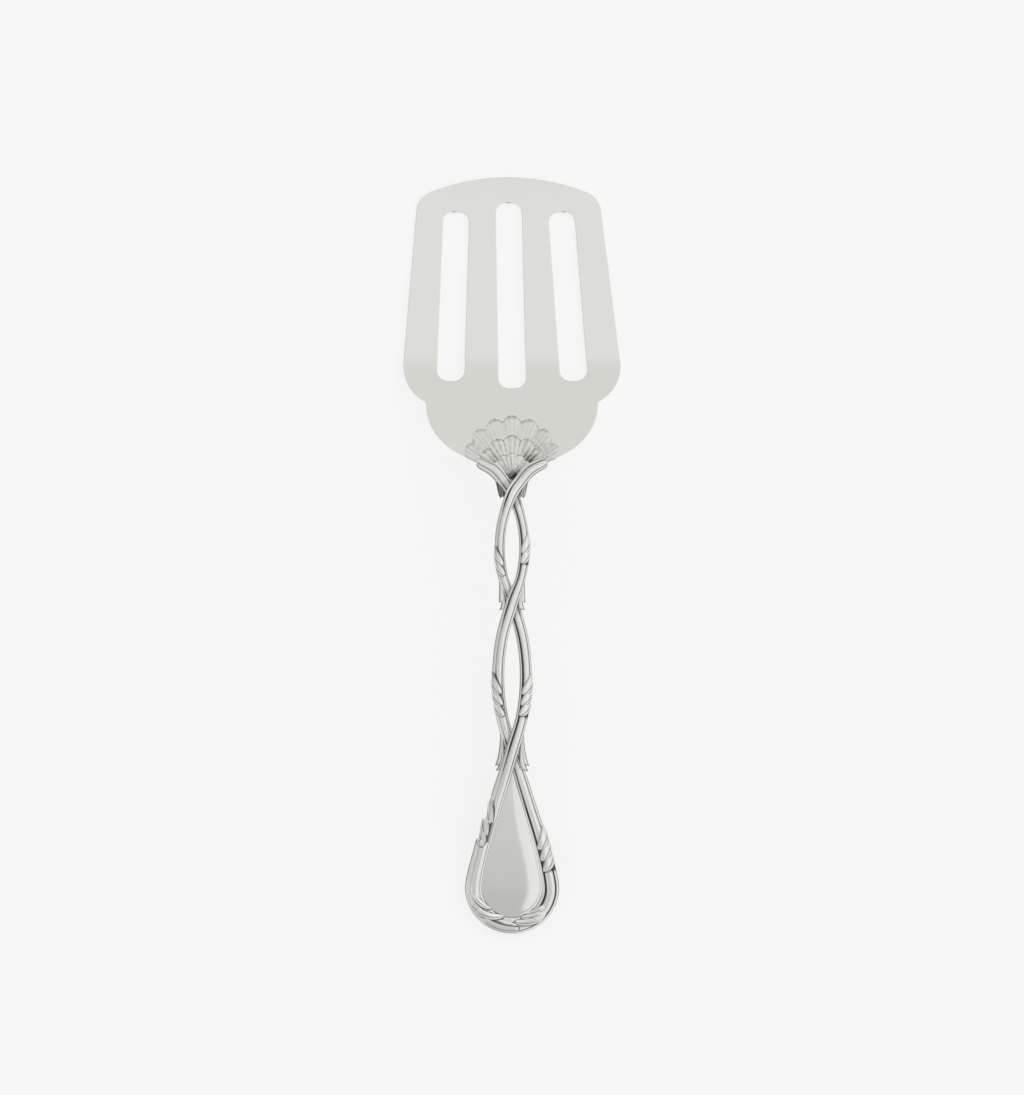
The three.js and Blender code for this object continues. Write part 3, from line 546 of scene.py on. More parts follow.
def blank(plan, rows, columns):
    """A flat closed blank: s runs along it from 0 to 1, w across it from -1 to 1, top is 1 on its front."""
    counts = {"Vertices X": rows, "Vertices Y": columns, "Vertices Z": 2}
    shape = plan.node("GeometryNodeMeshCube", {}, counts, "Mesh")
    x, y, z = plan.parts(plan.node("GeometryNodeInputPosition"))
    for name, value in (("s", x + 0.5), ("w", 2 * y), ("top", z + 0.5)):
        shape = kept(plan, shape, name, value)
    return shape, recalled(plan, "s"), recalled(plan, "w"), recalled(plan, "top")


def vector(plan, x=0.0, y=0.0, z=0.0):
    return plan.node("ShaderNodeCombineXYZ", {}, {"X": x, "Y": y, "Z": z})


def moved(plan, geometry, place):
    return plan.node("GeometryNodeSetPosition", {}, {"Geometry": geometry, "Position": place})


def repeated(plan, shape, count, start, step):
    """Copies of a shape in a row."""
    row = plan.node("GeometryNodeMeshLine", {}, {"Count": count, "Start Location": start, "Offset": step})
    copies = plan.node("GeometryNodeInstanceOnPoints", {}, {"Points": row, "Instance": shape})
    return plan.node("GeometryNodeRealizeInstances", {}, {"Geometry": copies})


def palmette_tree():
    names = ("Radius", "Rise", "Flutes", "Flute Depth", "Dark", "Shadow", "Parting", "Spread")
    numbers = dict.fromkeys(names, float)
    plan, given = new_tree("palmette_tier", {**numbers, "Lobes": int})
    shape, s, w, top = blank(plan, LOBE_ROWS, LOBE_COLUMNS)
    pitch = 2 * given["Spread"] / given["Lobes"]
    flat = moved(plan, shape, vector(plan, w * pitch / 2, s, top))
    start = vector(plan, pitch / 2 - given["Spread"])
    fan = repeated(plan, flat, given["Lobes"], start, vector(plan, pitch))
    turn, along, level = plan.parts(plan.node("GeometryNodeInputPosition"))
    share = between(TIER_FOOT, 1, along)
    aside = (turn / PALMETTE_SPREAD) ** 2
    reach = given["Radius"] * (1 - PALMETTE_SIDE_SHORT * aside)
    radius = share * reach * (1 - LOBE_DEPTH * w * w)
    x = radius * turn.maths("SINE")
    y = from_tip(PALMETTE_FROM_TIP) + radius * turn.maths("COSINE")
    flute = (w * given["Flutes"] * math.pi).maths("COSINE")
    edge = smooth(1 - LOBE_EDGE, 1.0, along)
    rim = smooth(*LOBE_RIM, abs(w))
    parted = between(given["Parting"], 1, smooth(*PARTING_END, along))
    crown = share * LOBE_CROWN * (1 - w * w) * parted + (flute - 1) * given["Flute Depth"] * (1 - edge)
    bevel = LOBE_BEVEL * edge * edge * (1 - SIDE_BEVEL_LOSS * aside)
    front = given["Rise"] * between(TIER_FOOT_RISE, 1, share) * (1 - bevel) + crown
    lift = level * (front + LOBE_SINK) - LOBE_SINK
    # Painted shade: the fan's foot is darker, more so on its right, and a painted shadow lies over its
    # sides.
    base = smooth(*FOOT_SHADE, share) * given["Dark"] * (1 + FOOT_SHADE_LEAN * turn)
    shadow = smooth(*SHADOW_TURN, turn) + LEFT_SHADOW * smooth(*SHADOW_TURN, -1 * turn)
    base = base + given["Shadow"] * shadow * smooth(*SHADOW_REACH, share)
    # Partings and flutes darken with tarnish and painted shade, more towards the sides of the fan.
    hollows_and_shade = parted * rim * between(*RIM_SHADE, given["Dark"]) + base
    hollows_and_shade = hollows_and_shade + (1 - flute) * between(*FLUTE_SHADE, aside) * given["Dark"]
    # A painted dark outline along each lobe's rim, strongest in the middle of the fan.
    line = edge**3 * between(*LOBE_LINE, aside**0.5)
    fan = kept(plan, fan, "tarnish_and_shade", (hollows_and_shade + line).clip(0.0, 1.0))
    draped = moved(plan, fan, vector(plan, x, y, layer_height(y, BLADE_THICKNESS) + lift))
    return close_tree(plan, draped, given["Material"])


fan_silver = silver("palmette_silver", 0.22, ROUND_STROKES, darkening_strength=0.93, worn=0.55)
tier_tree = palmette_tree()
tiers = []
for level, tier in enumerate(PALMETTE_TIERS):
    spread = PALMETTE_SPREAD * (1 - TIER_NARROWING * level)
    values = {**tier, "Spread": spread, "Material": fan_silver}
    tiers.append(made_by(tier_tree, bpy.data.meshes.new("tier"), values))
dress("palmette_leaves", "palmette", "chased_silver", fan_silver, *tiers)

# Stems
# Two silver stems, each drawn with a broad reed between two slim ones on its front and on its back. They
# twine round each other, are soldered to the tang and where they cross, and close round the handle's end.

STEM_TIP_WIDTH = 2.2 * MM
STEM_NOSE = 1.4 * MM
STEM_FAN_WIDTH = 3.4 * MM
STEM_FAN_REACH = 11.4 * MM
STEM_TIP_FROM_TIP = 92.2 * MM
# Shares of the fan's reach, of its run, of the climb over the other stem, and of the growth in width.
STEM_FAN = ((1, 1, 0, 0), (0.8, 0.9, 0, 0.7), (0.5, 0.71, 0.3, 1), (0.22, 0.35, 0.8, 1))
UPPER_STEM_WIDTH = 3.4 * MM
LOWER_STEM_WIDTH = 4 * MM
CROSSING_WIDTHS = (3.9 * MM, 4.3 * MM)
CROSSINGS = [from_tip(distance * MM) for distance in (102.6, 137.5, 185.3)]
LOOP_SPREADS = (3.95 * MM, 4.45 * MM)
LOOP_FULLNESS = 0.8
DROP_WIDTH = 30.6 * MM
# Shares of the drop's reach, of the way to its centre, of the lift, and of the growth in width.
DROP_SIDE = ((0.39, 0.36, 0.25, 0), (0.8, 0.72, 0, 0.5))
DROP_SQUARE_END = 0.07
SPRAY_BED = ((-110 * MM, -114 * MM), (1 * MM, 6 * MM))
DROP_MEETING = 0.01 * MM
STEM_FULLNESS = 0.968
FAN_GAIN = 0.45 * MM
FAN_RUN = (-1 * MM, 4 * MM)
REED_EDGE = 0.62
LEFT_REED_GAIN = 0.14
GROOVE_WIDTH = 0.35 * MM
CREASE_WIDTH = 0.07
CREASE_DARK = (0.6, 0.1)
GROOVE_FADE = (-3.2 * MM, -0.8 * MM)
OUTER_GROOVE = 0.42
OUTER_GROOVE_FADE = (-97 * MM, -102 * MM)
DROP_START = (-66 * MM, -76 * MM)
DROP_FADE = (9 * MM, 3 * MM)
# Share of the groove that closes at the top of the drop, and the soft edges of that stretch.
DROP_THIN = (0.5, (-84 * MM, -70 * MM), (-60 * MM, -66 * MM))
# Where the painted shade beside a left and a right sheath ends, in pitches of its leaves from its end.
WRAP_ENDS = {-1: (-0.3, -0.65), 1: (0.05, -0.3)}
DROP_GAIN = 0.3 * MM
# Top, bottom and depth of the steps in the outer edge beside the left sheath.
DROP_NICKS = ((-78.7 * MM, -85.5 * MM, 1.3 * MM), (-85.6 * MM, -91.8 * MM, 0.9 * MM))
DROP_SHIFT = (-75 * MM, -100 * MM)
SLIM_REED = (0.14, 0.5, 0.2)
BROAD_REED = (0.5, 0.5)
REED_SQUARENESS = 2.6
# Painted shadow on a stem where it passes under the other, by its distance from the crossing.
HIDDEN_RUN = (5.2 * MM, 3.6 * MM)
UNDER_RUN = (16 * MM, 11 * MM)
UNDER_SHIFT = 2 * MM
LINE_POINTS = 60
LOOP_STATIONS = (0.25, 0.5, 0.75)
END_STATIONS = (0, 0.8, 5)
NOSE_START = 0.02
FAN_GROOVE_LOSS = 0.5
WRAP_START = (1.5, 1.9)
STEM_POINTS = 420
REED_POINTS = 12
SEAM_HAIR = 0.00001
REEDS_END = 2.9999
WIDEST_GROOVE = 0.3
GROOVE_SIDES = (-0.1, 0.1)
GROOVE_SHARPNESS = 2.5
RIM_DARK = 0.5
RIM_WIDTH = (0.86, 0.98)
# How dark the painted shadow at a crossing is.
CROSSING_DARK = 0.35
WRAP_DARK = 0.85
WRAP_SPREAD = 0.65
WRAP_SOFTNESS = 0.3
BED_DARK = 0.6
BED_SPREAD = (0.6, 0.45)
BED_SOFTNESS = 0.12
# What a stem's line holds at each of its points.
LINE_NUMBERS = ("half", "depth", "groove", "crease", "line", "shade", "wrap", "bed")
# Name, hand of the stem, side, crossing above, start and end in shares of the stretch below it, leaves,
# angles from the outer side to the front in degrees, and thickness.
SHEATHS = (
    ("upper_left_sheath", 1, -1, 0, 0.475, 0.76, 2, (-35, 110), 0.36 * MM),
    ("upper_right_sheath", -1, 1, 0, 0.37, 0.655, 2, (-35, 112), 0.36 * MM),
    ("lower_left_sheath", -1, -1, 1, 0.46, 0.77, 3, (-35, 110), 0.36 * MM),
    ("lower_right_sheath", 1, 1, 1, 0.48, 0.77, 3, (-35, 112), 0.36 * MM),
    ("drop_left_sheath", 1, -1, 2, 0.272, 0.523, 3, (0, 84), 0.42 * MM),
    ("drop_right_sheath", -1, 1, 2, 0.414, 0.657, 3, (-35, 112), 0.36 * MM),
)
drop_reach = (DROP_WIDTH - DROP_STEM_WIDTH) / 2
drop_centre = drop_end + drop_reach


def stem_stations(hand):
    """Places that a stem passes through: across, along, lift over the handle's middle, and its width."""
    stations = []
    for out, up, climb, width in STEM_FAN:
        lift = between(-stem_rise, stem_rise, climb) if hand > 0 else -stem_rise
        y = between(CROSSINGS[0], from_tip(STEM_TIP_FROM_TIP), up)
        stations.append((out * STEM_FAN_REACH, y, lift, between(STEM_TIP_WIDTH, STEM_FAN_WIDTH, width)))
    side = 1
    for i, y in enumerate(CROSSINGS):
        width = between(*CROSSING_WIDTHS, i / (len(CROSSINGS) - 1))
        stations.append((0, y, side * hand * stem_rise, width))
        side = -side
        if i < len(LOOP_SPREADS):
            width = (UPPER_STEM_WIDTH, LOWER_STEM_WIDTH)[i]
            for share in LOOP_STATIONS:
                turn = math.pi * share
                spread = LOOP_SPREADS[i] * math.sin(turn) ** LOOP_FULLNESS
                lift = -side * hand * stem_rise * math.cos(turn)
                stations.append((side * spread, between(y, CROSSINGS[i + 1], share), lift, width))
    for out, down, lift, width in DROP_SIDE:
        y = between(CROSSINGS[-1], drop_centre, down)
        wide = between(LOWER_STEM_WIDTH, DROP_STEM_WIDTH, width)
        stations.append((side * out * drop_reach, y, -side * hand * lift * stem_rise, wide))
    for turn in np.linspace(*END_STATIONS) * math.pi / 2:
        y = drop_centre - drop_reach * math.sin(turn)
        stations.append((side * drop_reach * math.cos(turn), y, 0, DROP_STEM_WIDTH))
    stations.append((side * DROP_SQUARE_END * drop_reach, drop_end, 0, DROP_STEM_WIDTH))
    stations.append((side * DROP_MEETING, drop_end, 0, DROP_STEM_WIDTH))
    return np.array(stations) * [hand, 1, 1, 1]


def flowing_line(stations, count):
    """A smooth line through the stations, whose knots are spaced by the root of their distance."""
    points = stations[:, :3]
    ends = (2 * points[0] - points[1], 2 * points[-1] - points[-2])
    points = np.concatenate([ends[:1], points, ends[1:]])
    line = []
    for i in range(1, len(points) - 2):
        a, b, c, d = points[i - 1 : i + 3]
        before, here, after = (np.linalg.norm(q - p) ** 0.5 for p, q in ((a, b), (b, c), (c, d)))
        leave = ((b - a) / before - (c - a) / (before + here) + (c - b) / here) * here
        arrive = ((c - b) / here - (d - b) / (here + after) + (d - c) / after) * here
        for t in np.arange(count) / count:
            ease = t * t * (3 - 2 * t)
            place = b * (1 - ease) + c * ease + leave * t * (1 - t) ** 2 - arrive * t * t * (1 - t)
            line.append((*place, between(stations[i - 1, 3], stations[i, 3], ease)))
    line.append(stations[-1])
    return np.array(line)


def store(mesh, name, values):
    """Keeps a number or a vector for each of a mesh's points."""
    kind, field = ("FLOAT", "value") if values.ndim == 1 else ("FLOAT_VECTOR", "vector")
    layer = mesh.attributes.new(name, kind, "POINT")
    layer.data.foreach_set(field, values.astype(np.float32).ravel())


def lengths_along(points):
    return np.concatenate([[0], np.cumsum(np.linalg.norm(np.diff(points, axis=0), axis=1))])


class Stem:
    """A stem's middle line, with the directions and half-sizes of its section at each point."""

    def __init__(self, hand):
        line = flowing_line(stem_stations(hand), LINE_POINTS)
        distance = lengths_along(line[:, :3])
        even = np.linspace(0, distance[-1], STEM_POINTS)
        x, y, lift, width = (np.interp(even, distance, column) for column in line.T)
        middle = np.stack([x, y, layer_height(y, stem_lift + lift)], 1)
        along = unit(np.gradient(middle, axis=0))
        facing = np.stack([0 * y, -slope(y), 0 * y + 1], 1)
        self.across = unit(np.cross(along, facing))
        self.rise = np.cross(self.across, along)
        nose = (1 - (1 - (even / STEM_NOSE).clip(NOSE_START, 1)) ** 2) ** 0.5
        drop = smooth(*DROP_START, y)
        fan = nose * smooth(*FAN_RUN, y - CROSSINGS[0])
        self.lift = lift
        nick = 0 * y
        for top, bottom, reach in DROP_NICKS:
            nick += reach * (x < 0) * (y > bottom) * ((top - y) / (top - bottom)).clip(0, 1)
        inward = DROP_GAIN * smooth(*DROP_SHIFT, y) + nick / 2
        self.middle = middle + self.across * (np.sign(x) * inward)[:, None]
        self.half = STEM_FULLNESS * nose * width / 2 + DROP_GAIN * drop + FAN_GAIN * fan - nick / 2
        self.depth = STEM_FULLNESS * nose * STEM_THICKNESS / 2
        self.distance = lengths_along(self.middle)
        # Painted shadow where this stem runs under the other at a crossing.
        self.shade = 0 * y
        under = 0 * y
        for crossing in CROSSINGS[0 if hand < 0 else 1 :: 2]:
            away = abs(self.distance - self.distance_at(crossing))
            self.shade += smooth(*HIDDEN_RUN, away)
            under += smooth(*UNDER_RUN, away)
        end = 1 - smooth(*DROP_FADE, abs(x)) * (y < drop_centre)
        thin = DROP_THIN[0] * smooth(*DROP_THIN[1], y) * smooth(*DROP_THIN[2], y)
        open_share = end * (1 - FAN_GROOVE_LOSS * fan) * (1 - thin)
        self.groove = smooth(*GROOVE_FADE, x - UNDER_SHIFT * under) * open_share
        self.crease = smooth(*OUTER_GROOVE_FADE, y) * (x > 0) * end
        # Creases hold tarnish; painted light makes them paler down the left side of the drop.
        self.line = between(*CREASE_DARK, drop * (x < 0))
        # Painted shade on the stem between the leaves of the spray that lies over it.
        self.bed = max(hand, 0) * smooth(*SPRAY_BED[0], y) * smooth(*SPRAY_BED[1], abs(x))
        self.wrap = 0 * y
        for _, owner, side, crossing, start, end, count, _, _ in SHEATHS:
            if owner == hand:
                first, last = self.span(crossing, start, end)
                pitch = (last - first) / (count + 1)
                starts = [first + share * pitch for share in WRAP_START]
                ends = [last + share * pitch for share in WRAP_ENDS[side]]
                self.wrap -= side * smooth(*starts, self.distance) * smooth(*ends, self.distance)

    @classmethod
    def plain(cls, middle, across, rise, half, depth):
        """A line with sections of its own and none of a stem's grooves and shades."""
        line = cls.__new__(cls)
        line.middle, line.across, line.rise = middle, across, rise
        line.half, line.depth = half, depth
        line.groove = line.crease = line.line = line.shade = line.wrap = line.bed = 0 * half
        line.distance = lengths_along(middle)
        return line

    def distance_at(self, y):
        return np.interp(-y, -self.middle[:, 1], self.distance)

    def span(self, crossing, *shares):
        """How far along the stem shares of the stretch from a crossing to the next, or to the end, lie."""
        ends = [*CROSSINGS, -TIP_Y][crossing : crossing + 2]
        return [self.distance_at(between(*ends, share)) for share in shares]

    def mesh(self):
        """The middle line as edges, with its section's directions and half-sizes on its points."""
        mesh = bpy.data.meshes.new("stem_line")
        count = len(self.middle)
        mesh.from_pydata(self.middle.tolist(), [(i, i + 1) for i in range(count - 1)], [])
        for name in (*LINE_NUMBERS, "across", "rise"):
            store(mesh, name, getattr(self, name))
        return mesh


def sampled(plan, line, share, name, data_type="FLOAT"):
    """What a stem's line holds at a share of its length."""
    settings = {"mode": "FACTOR", "data_type": data_type}
    sockets = {"Curves": line, "Value": recalled(plan, name, data_type), "Factor": share}
    return plan.node("GeometryNodeSampleCurve", settings, sockets, "Value")


def on_stem(plan, line, share, sideways, upwards):
    """The place beside a stem's line that lies sideways and upwards in its section."""
    middle = sampled(plan, line, share, "position", "FLOAT_VECTOR")
    across = sampled(plan, line, share, "across", "FLOAT_VECTOR")
    return middle + across * sideways + sampled(plan, line, share, "rise", "FLOAT_VECTOR") * upwards


def stem_tree():
    numbers = {"Reed Edge": float, "Groove": float, "Rings": int}
    plan, given = new_tree("reeded_stem", numbers)
    line = plan.node("GeometryNodeMeshToCurve", {}, {"Mesh": given["Geometry"]})
    sizes = {"Vertices": 6 * REED_POINTS, "Side Segments": given["Rings"], "Radius": 1.0, "Depth": 1.0}
    tube = plan.node("GeometryNodeMeshCylinder", {"fill_type": "NGON"}, sizes, "Mesh")
    x, y, z = plan.parts(plan.node("GeometryNodeInputPosition"))
    tube = kept(plan, tube, "share", z + 0.5)
    turn = y.maths("ARCTAN2", x) / (2 * math.pi) + 1 + SEAM_HAIR
    tube = kept(plan, tube, "reed", turn.maths("FRACT") * 6)
    share, reed = recalled(plan, "share"), recalled(plan, "reed")
    face = reed.maths("GREATER_THAN", REEDS_END)
    number = (reed - face * 3).clip(0.0, REEDS_END).maths("FLOOR")
    part = ((reed - face * 3 - number) * (REED_POINTS / (REED_POINTS - 1))).clip(0.0, 1.0)
    held = {name: sampled(plan, line, share, name) for name in LINE_NUMBERS}
    left = (1 - number).clip(0.0, 1.0)
    right = (number - 1).clip(0.0, 1.0)
    broad = 1 - left - right
    channel = (given["Groove"] / held["half"]).clip(0.0, WIDEST_GROOVE)
    left_edge = given["Reed Edge"] - LEFT_REED_GAIN * (1 - held["groove"])
    first = left + broad * (left_edge - CREASE_WIDTH - channel * held["groove"])
    first = first - right * (given["Reed Edge"] + CREASE_WIDTH)
    last = left * left_edge - broad * (given["Reed Edge"] - OUTER_GROOVE * channel * held["crease"]) - right
    swing = (part * math.pi).maths("COSINE")
    across = (first + last) / 2 + (first - last) / 2 * swing
    bulge = (1 - abs(swing) ** REED_SQUARENESS).clip(0.0, 1.0) ** 0.5
    width = 1 - between(given["Reed Edge"], left_edge, left)
    inward = ((1 - abs(across)) / width).clip(0.0, 1.0)
    slim = between(SLIM_REED[0], SLIM_REED[1], inward) + SLIM_REED[2] * bulge
    height = broad * (BROAD_REED[0] + BROAD_REED[1] * bulge) + (1 - broad) * slim
    depth_of_line = between(held["crease"], held["groove"], smooth(*GROOVE_SIDES, across))
    hollows_and_shade = (1 - bulge) ** GROOVE_SHARPNESS * between(held["line"], 1, depth_of_line)
    # A painted dark outline along both edges of each stem and petal, for the shade where they turn away.
    hollows_and_shade = hollows_and_shade + RIM_DARK * smooth(*RIM_WIDTH, abs(across))
    # Painted shade on the stem beside and between a sheath's leaves.
    wrapped = across * held["wrap"] + WRAP_SPREAD * abs(held["wrap"])
    under = WRAP_DARK * smooth(0.0, WRAP_SOFTNESS, wrapped)
    # Painted shade between the spray's leaves, on the stem under them.
    bed = smooth(0.0, BED_SOFTNESS, (BED_SPREAD[0] - across) * held["bed"])
    bed = bed * smooth(0.0, BED_SOFTNESS, (BED_SPREAD[1] + across) * held["bed"])
    shade = CROSSING_DARK * held["shade"] + under + BED_DARK * bed
    tube = kept(plan, tube, "tarnish_and_shade", (hollows_and_shade + shade).clip(0.0, 1.0))
    turned = 1 - 2 * face
    place = on_stem(plan, line, share, turned * across * held["half"], turned * height * held["depth"])
    return close_tree(plan, moved(plan, tube, place), given["Material"])


reeded = silver("reeded_silver", roughness=0.2, stroke_lengths=LONG_STROKES, darkening_strength=0.97)
reed_tree = stem_tree()
right_stem = Stem(1)
left_stem = Stem(-1)
reeds = {"Rings": STEM_POINTS - 1, "Reed Edge": REED_EDGE, "Groove": GROOVE_WIDTH, "Material": reeded}
for name, stem in (("right_stem", right_stem), ("left_stem", left_stem)):
    dress(name + "_reeds", name, "reeded_silver", reeded, made_by(reed_tree, stem.mesh(), reeds))

# Panel
# A smooth domed plate of silver in the pear-shaped end of the handle, burnished bright. It has a fine bead
# inside its rim, and a dark line outside the bead, where it is soldered between the two stems.

PANEL_EDGE = 1 * MM
PANEL_CROWN = 0.7 * MM
PANEL_BEAD = 0.05 * MM
BEAD_PLACE = 0.955
BEAD_WIDTH = 0.018
PANEL_TUCK = 0.25 * MM
PANEL_TIP = 0.3 * MM
PANEL_SIDE_GAP = 0.1 * MM
PANEL_MIDDLE = 0.32
PANEL_ARCH = (0.75, 2)
PANEL_RINGS = 40
RING_START = 0.02
RING_SPACING = 0.8
NARROWEST = 0.001 * MM
PANEL_LINE = (0.975, 0.99)
PANEL_STROKES = (1, 0.2, 1)


def panel_mesh():
    inner = right_stem.middle + right_stem.across * (right_stem.half - PANEL_TUCK)[:, None] * -1
    side = inner[(inner[:, 1] < CROSSINGS[-1]) & (inner[:, 0] < -PANEL_SIDE_GAP)]
    top = [0, side[0, 1] + PANEL_TIP, 0]
    bottom = [0, side[-1, 1], 0]
    rim = np.concatenate([[top], side, [bottom], side[::-1] * [-1, 1, 1]])
    middle_y = between(bottom[1], top[1], PANEL_MIDDLE)
    widest = side[np.argmin(side[:, 0])]
    shares = np.linspace(RING_START, 1, PANEL_RINGS) ** RING_SPACING
    rings = []
    lines = []
    for face in (1, -1):
        ordered = shares if face > 0 else shares[::-1]
        for share in ordered:
            x = share * rim[:, 0]
            y = between(middle_y, rim[:, 1], share)
            half = np.interp(-y, -rim[: len(side) + 2, 1], -rim[: len(side) + 2, 0]).clip(NARROWEST)
            fullness = np.where(y > widest[1], *PANEL_ARCH)
            arch = (1 - (x / half) ** 2).clip(0) * (-half / widest[0]) ** fullness
            bead = PANEL_BEAD * math.exp(-(((share - BEAD_PLACE) / BEAD_WIDTH) ** 2))
            height = face * (PANEL_EDGE / 2 + PANEL_CROWN * arch + bead)
            rings.append(np.stack([x, y, layer_height(y, stem_lift + height)], 1))
            lines.append(np.full(len(rim), smooth(*PANEL_LINE, share)))
    count = len(rim)
    faces = []
    for i in range(len(rings) - 1):
        for j in range(count):
            a = i * count + j
            b = i * count + (j + 1) % count
            faces.append((a, b, b + count, a + count))
    faces.append(tuple(range(count))[::-1])
    faces.append(tuple(range((len(rings) - 1) * count, len(rings) * count)))
    mesh = bpy.data.meshes.new("panel")
    mesh.from_pydata(np.concatenate(rings).tolist(), [], faces)
    store(mesh, "tarnish_and_shade", np.concatenate(lines))
    work = bmesh.new()
    work.from_mesh(mesh)
    bmesh.ops.recalc_face_normals(work, faces=work.faces)
    work.to_mesh(mesh)
    work.free()
    return mesh


burnished = silver("burnished_silver", roughness=0.09, stroke_lengths=PANEL_STROKES, darkening_strength=0.5)
dress("drop_panel_dome", "drop_panel", "polished_silver", burnished, panel_mesh())

# Sheaths
# Pointed leaves of silver that wind round the outer side of a stem, each over the next. They are cast and
# chased with a rib, and soldered on the stem, which takes painted shade beside and between them.

LEAF_EDGE = 0.3
LEAF_STEP = 0.08 * MM
LEAF_SINK = 0.4 * MM
LEAF_FOOT = 0.005
LEAF_TIP = 0.05
LEAF_EASE = 1.6
LEAF_DIVE = 0.3 * MM
LEAF_FULLNESS = 0.6
LEAF_RIB = 0.1 * MM
RIB_ASIDE = 0.2
RIB_WIDTH = 0.3
RIB_LINE = 0.2
RIB_DARK = 0.75
LEAF_EMERGE = 0.35
LEAF_THIN_END = 0.4
UPPER_LINE = (0.6, 0.92)
LOWER_LINE = (0.5, 0.9)
END_LINE = (0.2, 0.02)
LINES_START = (0.1, 0.45)
LEAF_ROWS = 44
LEAF_COLUMNS = 23
LEAF_CURL = 1.3
SHEATH_LEAF_WIDTH = 3.4 * MM
SHEATH_BLUNTNESS = 1.6
# How dark a leaf's upper edge is painted with shade, darker on the left-hand sheaths.
SHEATH_EDGES = {-1: 1.0, 1: 0.45}
SHEATH_LEAD = 0.5
LEAF_NUMBERS = {"Leaves": int, "From": float, "Pitch": float, "Reach": float, "From Angle": float,
                "To Angle": float, "Width": float, "Girth": float, "Outer": float, "Length": float,
                "Layer": float, "Thickness": float, "Bluntness": float, "Upper Edge": float}


def leaf_tree():
    plan, given = new_tree("leaves_on_stem", LEAF_NUMBERS)
    stem_line = plan.node("GeometryNodeMeshToCurve", {}, {"Mesh": given["Geometry"]})
    shape, even, w, top = blank(plan, LEAF_ROWS, LEAF_COLUMNS)
    s = 1 - (1 - even) ** LEAF_EASE
    wind = (given["To Angle"] - given["From Angle"]) * given["Girth"]
    slant = (given["Reach"] ** 2 + wind**2) ** 0.5
    outline = (between(LEAF_FOOT, 1, s).clip(0.0, 0.5) * math.pi).maths("SINE") ** LEAF_FULLNESS
    tip = 1 - (2 * s - 1).clip(0.0, 1.0) ** given["Bluntness"]
    outline = (outline * tip**0.5).maths("MAXIMUM", LEAF_TIP)
    aside = w * outline * given["Width"] / 2
    rounded = (1 - abs(w) ** 3) ** 0.5
    emerge = smooth(0.0, LEAF_EMERGE, s)
    from_rib = abs(w + RIB_ASIDE)
    rib = LEAF_RIB * smooth(RIB_WIDTH, 0.0, from_rib)
    rounded = rounded * smooth(0.0, LEAF_THIN_END, tip)
    thick = emerge * (given["Thickness"] * between(LEAF_EDGE, 1, rounded) - rib) - (1 - emerge) * LEAF_DIVE
    around = given["From Angle"] * given["Girth"] + s**LEAF_CURL * wind + aside * given["Reach"] / slant
    height = top * (thick + LEAF_SINK) - LEAF_SINK
    flat = moved(plan, shape, vector(plan, s * given["Reach"] - aside * wind / slant, around, height))
    # Dark lines along the leaf's edges, tip and rib: tarnish in the crevices with painted shade.
    lines = given["Upper Edge"] * smooth(*UPPER_LINE, w) + smooth(*LOWER_LINE, -1 * w)
    lines = lines + smooth(*END_LINE, tip) + RIB_DARK * smooth(RIB_LINE, 0.0, from_rib)
    flat = kept(plan, flat, "tarnish_and_shade", (lines * smooth(*LINES_START, s)).clip(0.0, 1.0))
    height = (given["Leaves"] - 1) * LEAF_STEP + given["Layer"] * LEAF_STEP
    start = vector(plan, given["From"], 0.0, height)
    row = repeated(plan, flat, given["Leaves"], start, vector(plan, given["Pitch"], 0.0, -LEAF_STEP))
    distance, around, out = plan.parts(plan.node("GeometryNodeInputPosition"))
    share = distance / given["Length"]
    angle = around / given["Girth"]
    sideways = given["Outer"] * angle.maths("COSINE") * (sampled(plan, stem_line, share, "half") + out)
    upwards = angle.maths("SINE") * (sampled(plan, stem_line, share, "depth") + out)
    place = on_stem(plan, stem_line, share, sideways, upwards)
    return close_tree(plan, moved(plan, row, place), given["Material"])


chased = silver("chased_silver", 0.2, ROUND_STROKES, darkening_strength=0.96, worn=0.2)
wound_tree = leaf_tree()


def leaves_on(stem, outer, start, reach, degrees, values):
    """Leaves in a row on a stem, the first from a distance along it, each wound between two angles."""
    girth = (np.interp(start, stem.distance, stem.half) + np.interp(start, stem.distance, stem.depth)) / 2
    from_angle, to_angle = (math.radians(angle) for angle in degrees)
    return made_by(wound_tree, stem.mesh(), {
        "From": float(start), "Reach": float(reach), "From Angle": from_angle, "To Angle": to_angle,
        "Girth": float(girth), "Outer": float(outer), "Length": float(stem.distance[-1]),
        "Material": chased, **values,
    })


for name, hand, side, crossing, start, end, count, degrees, thickness in SHEATHS:
    stem = right_stem if hand > 0 else left_stem
    first, last = stem.span(crossing, start, end)
    pitch = (last - first) / (count + 1)
    values = {"Leaves": count, "Pitch": float(pitch), "Width": SHEATH_LEAF_WIDTH, "Layer": 0.0,
              "Thickness": thickness, "Bluntness": SHEATH_BLUNTNESS, "Upper Edge": SHEATH_EDGES[side]}
    sheath = leaves_on(stem, -side, first - SHEATH_LEAD * pitch, (2 + SHEATH_LEAD) * pitch, degrees, values)
    dress(name + "_leaves", name, "chased_silver", chased, sheath)

# Calyxes
# At each crossing two short fluted leaves flare out beside the stems, like the cut end of a husk. Each is
# cast silver in two petals of unequal length, soldered to the stems where they meet.

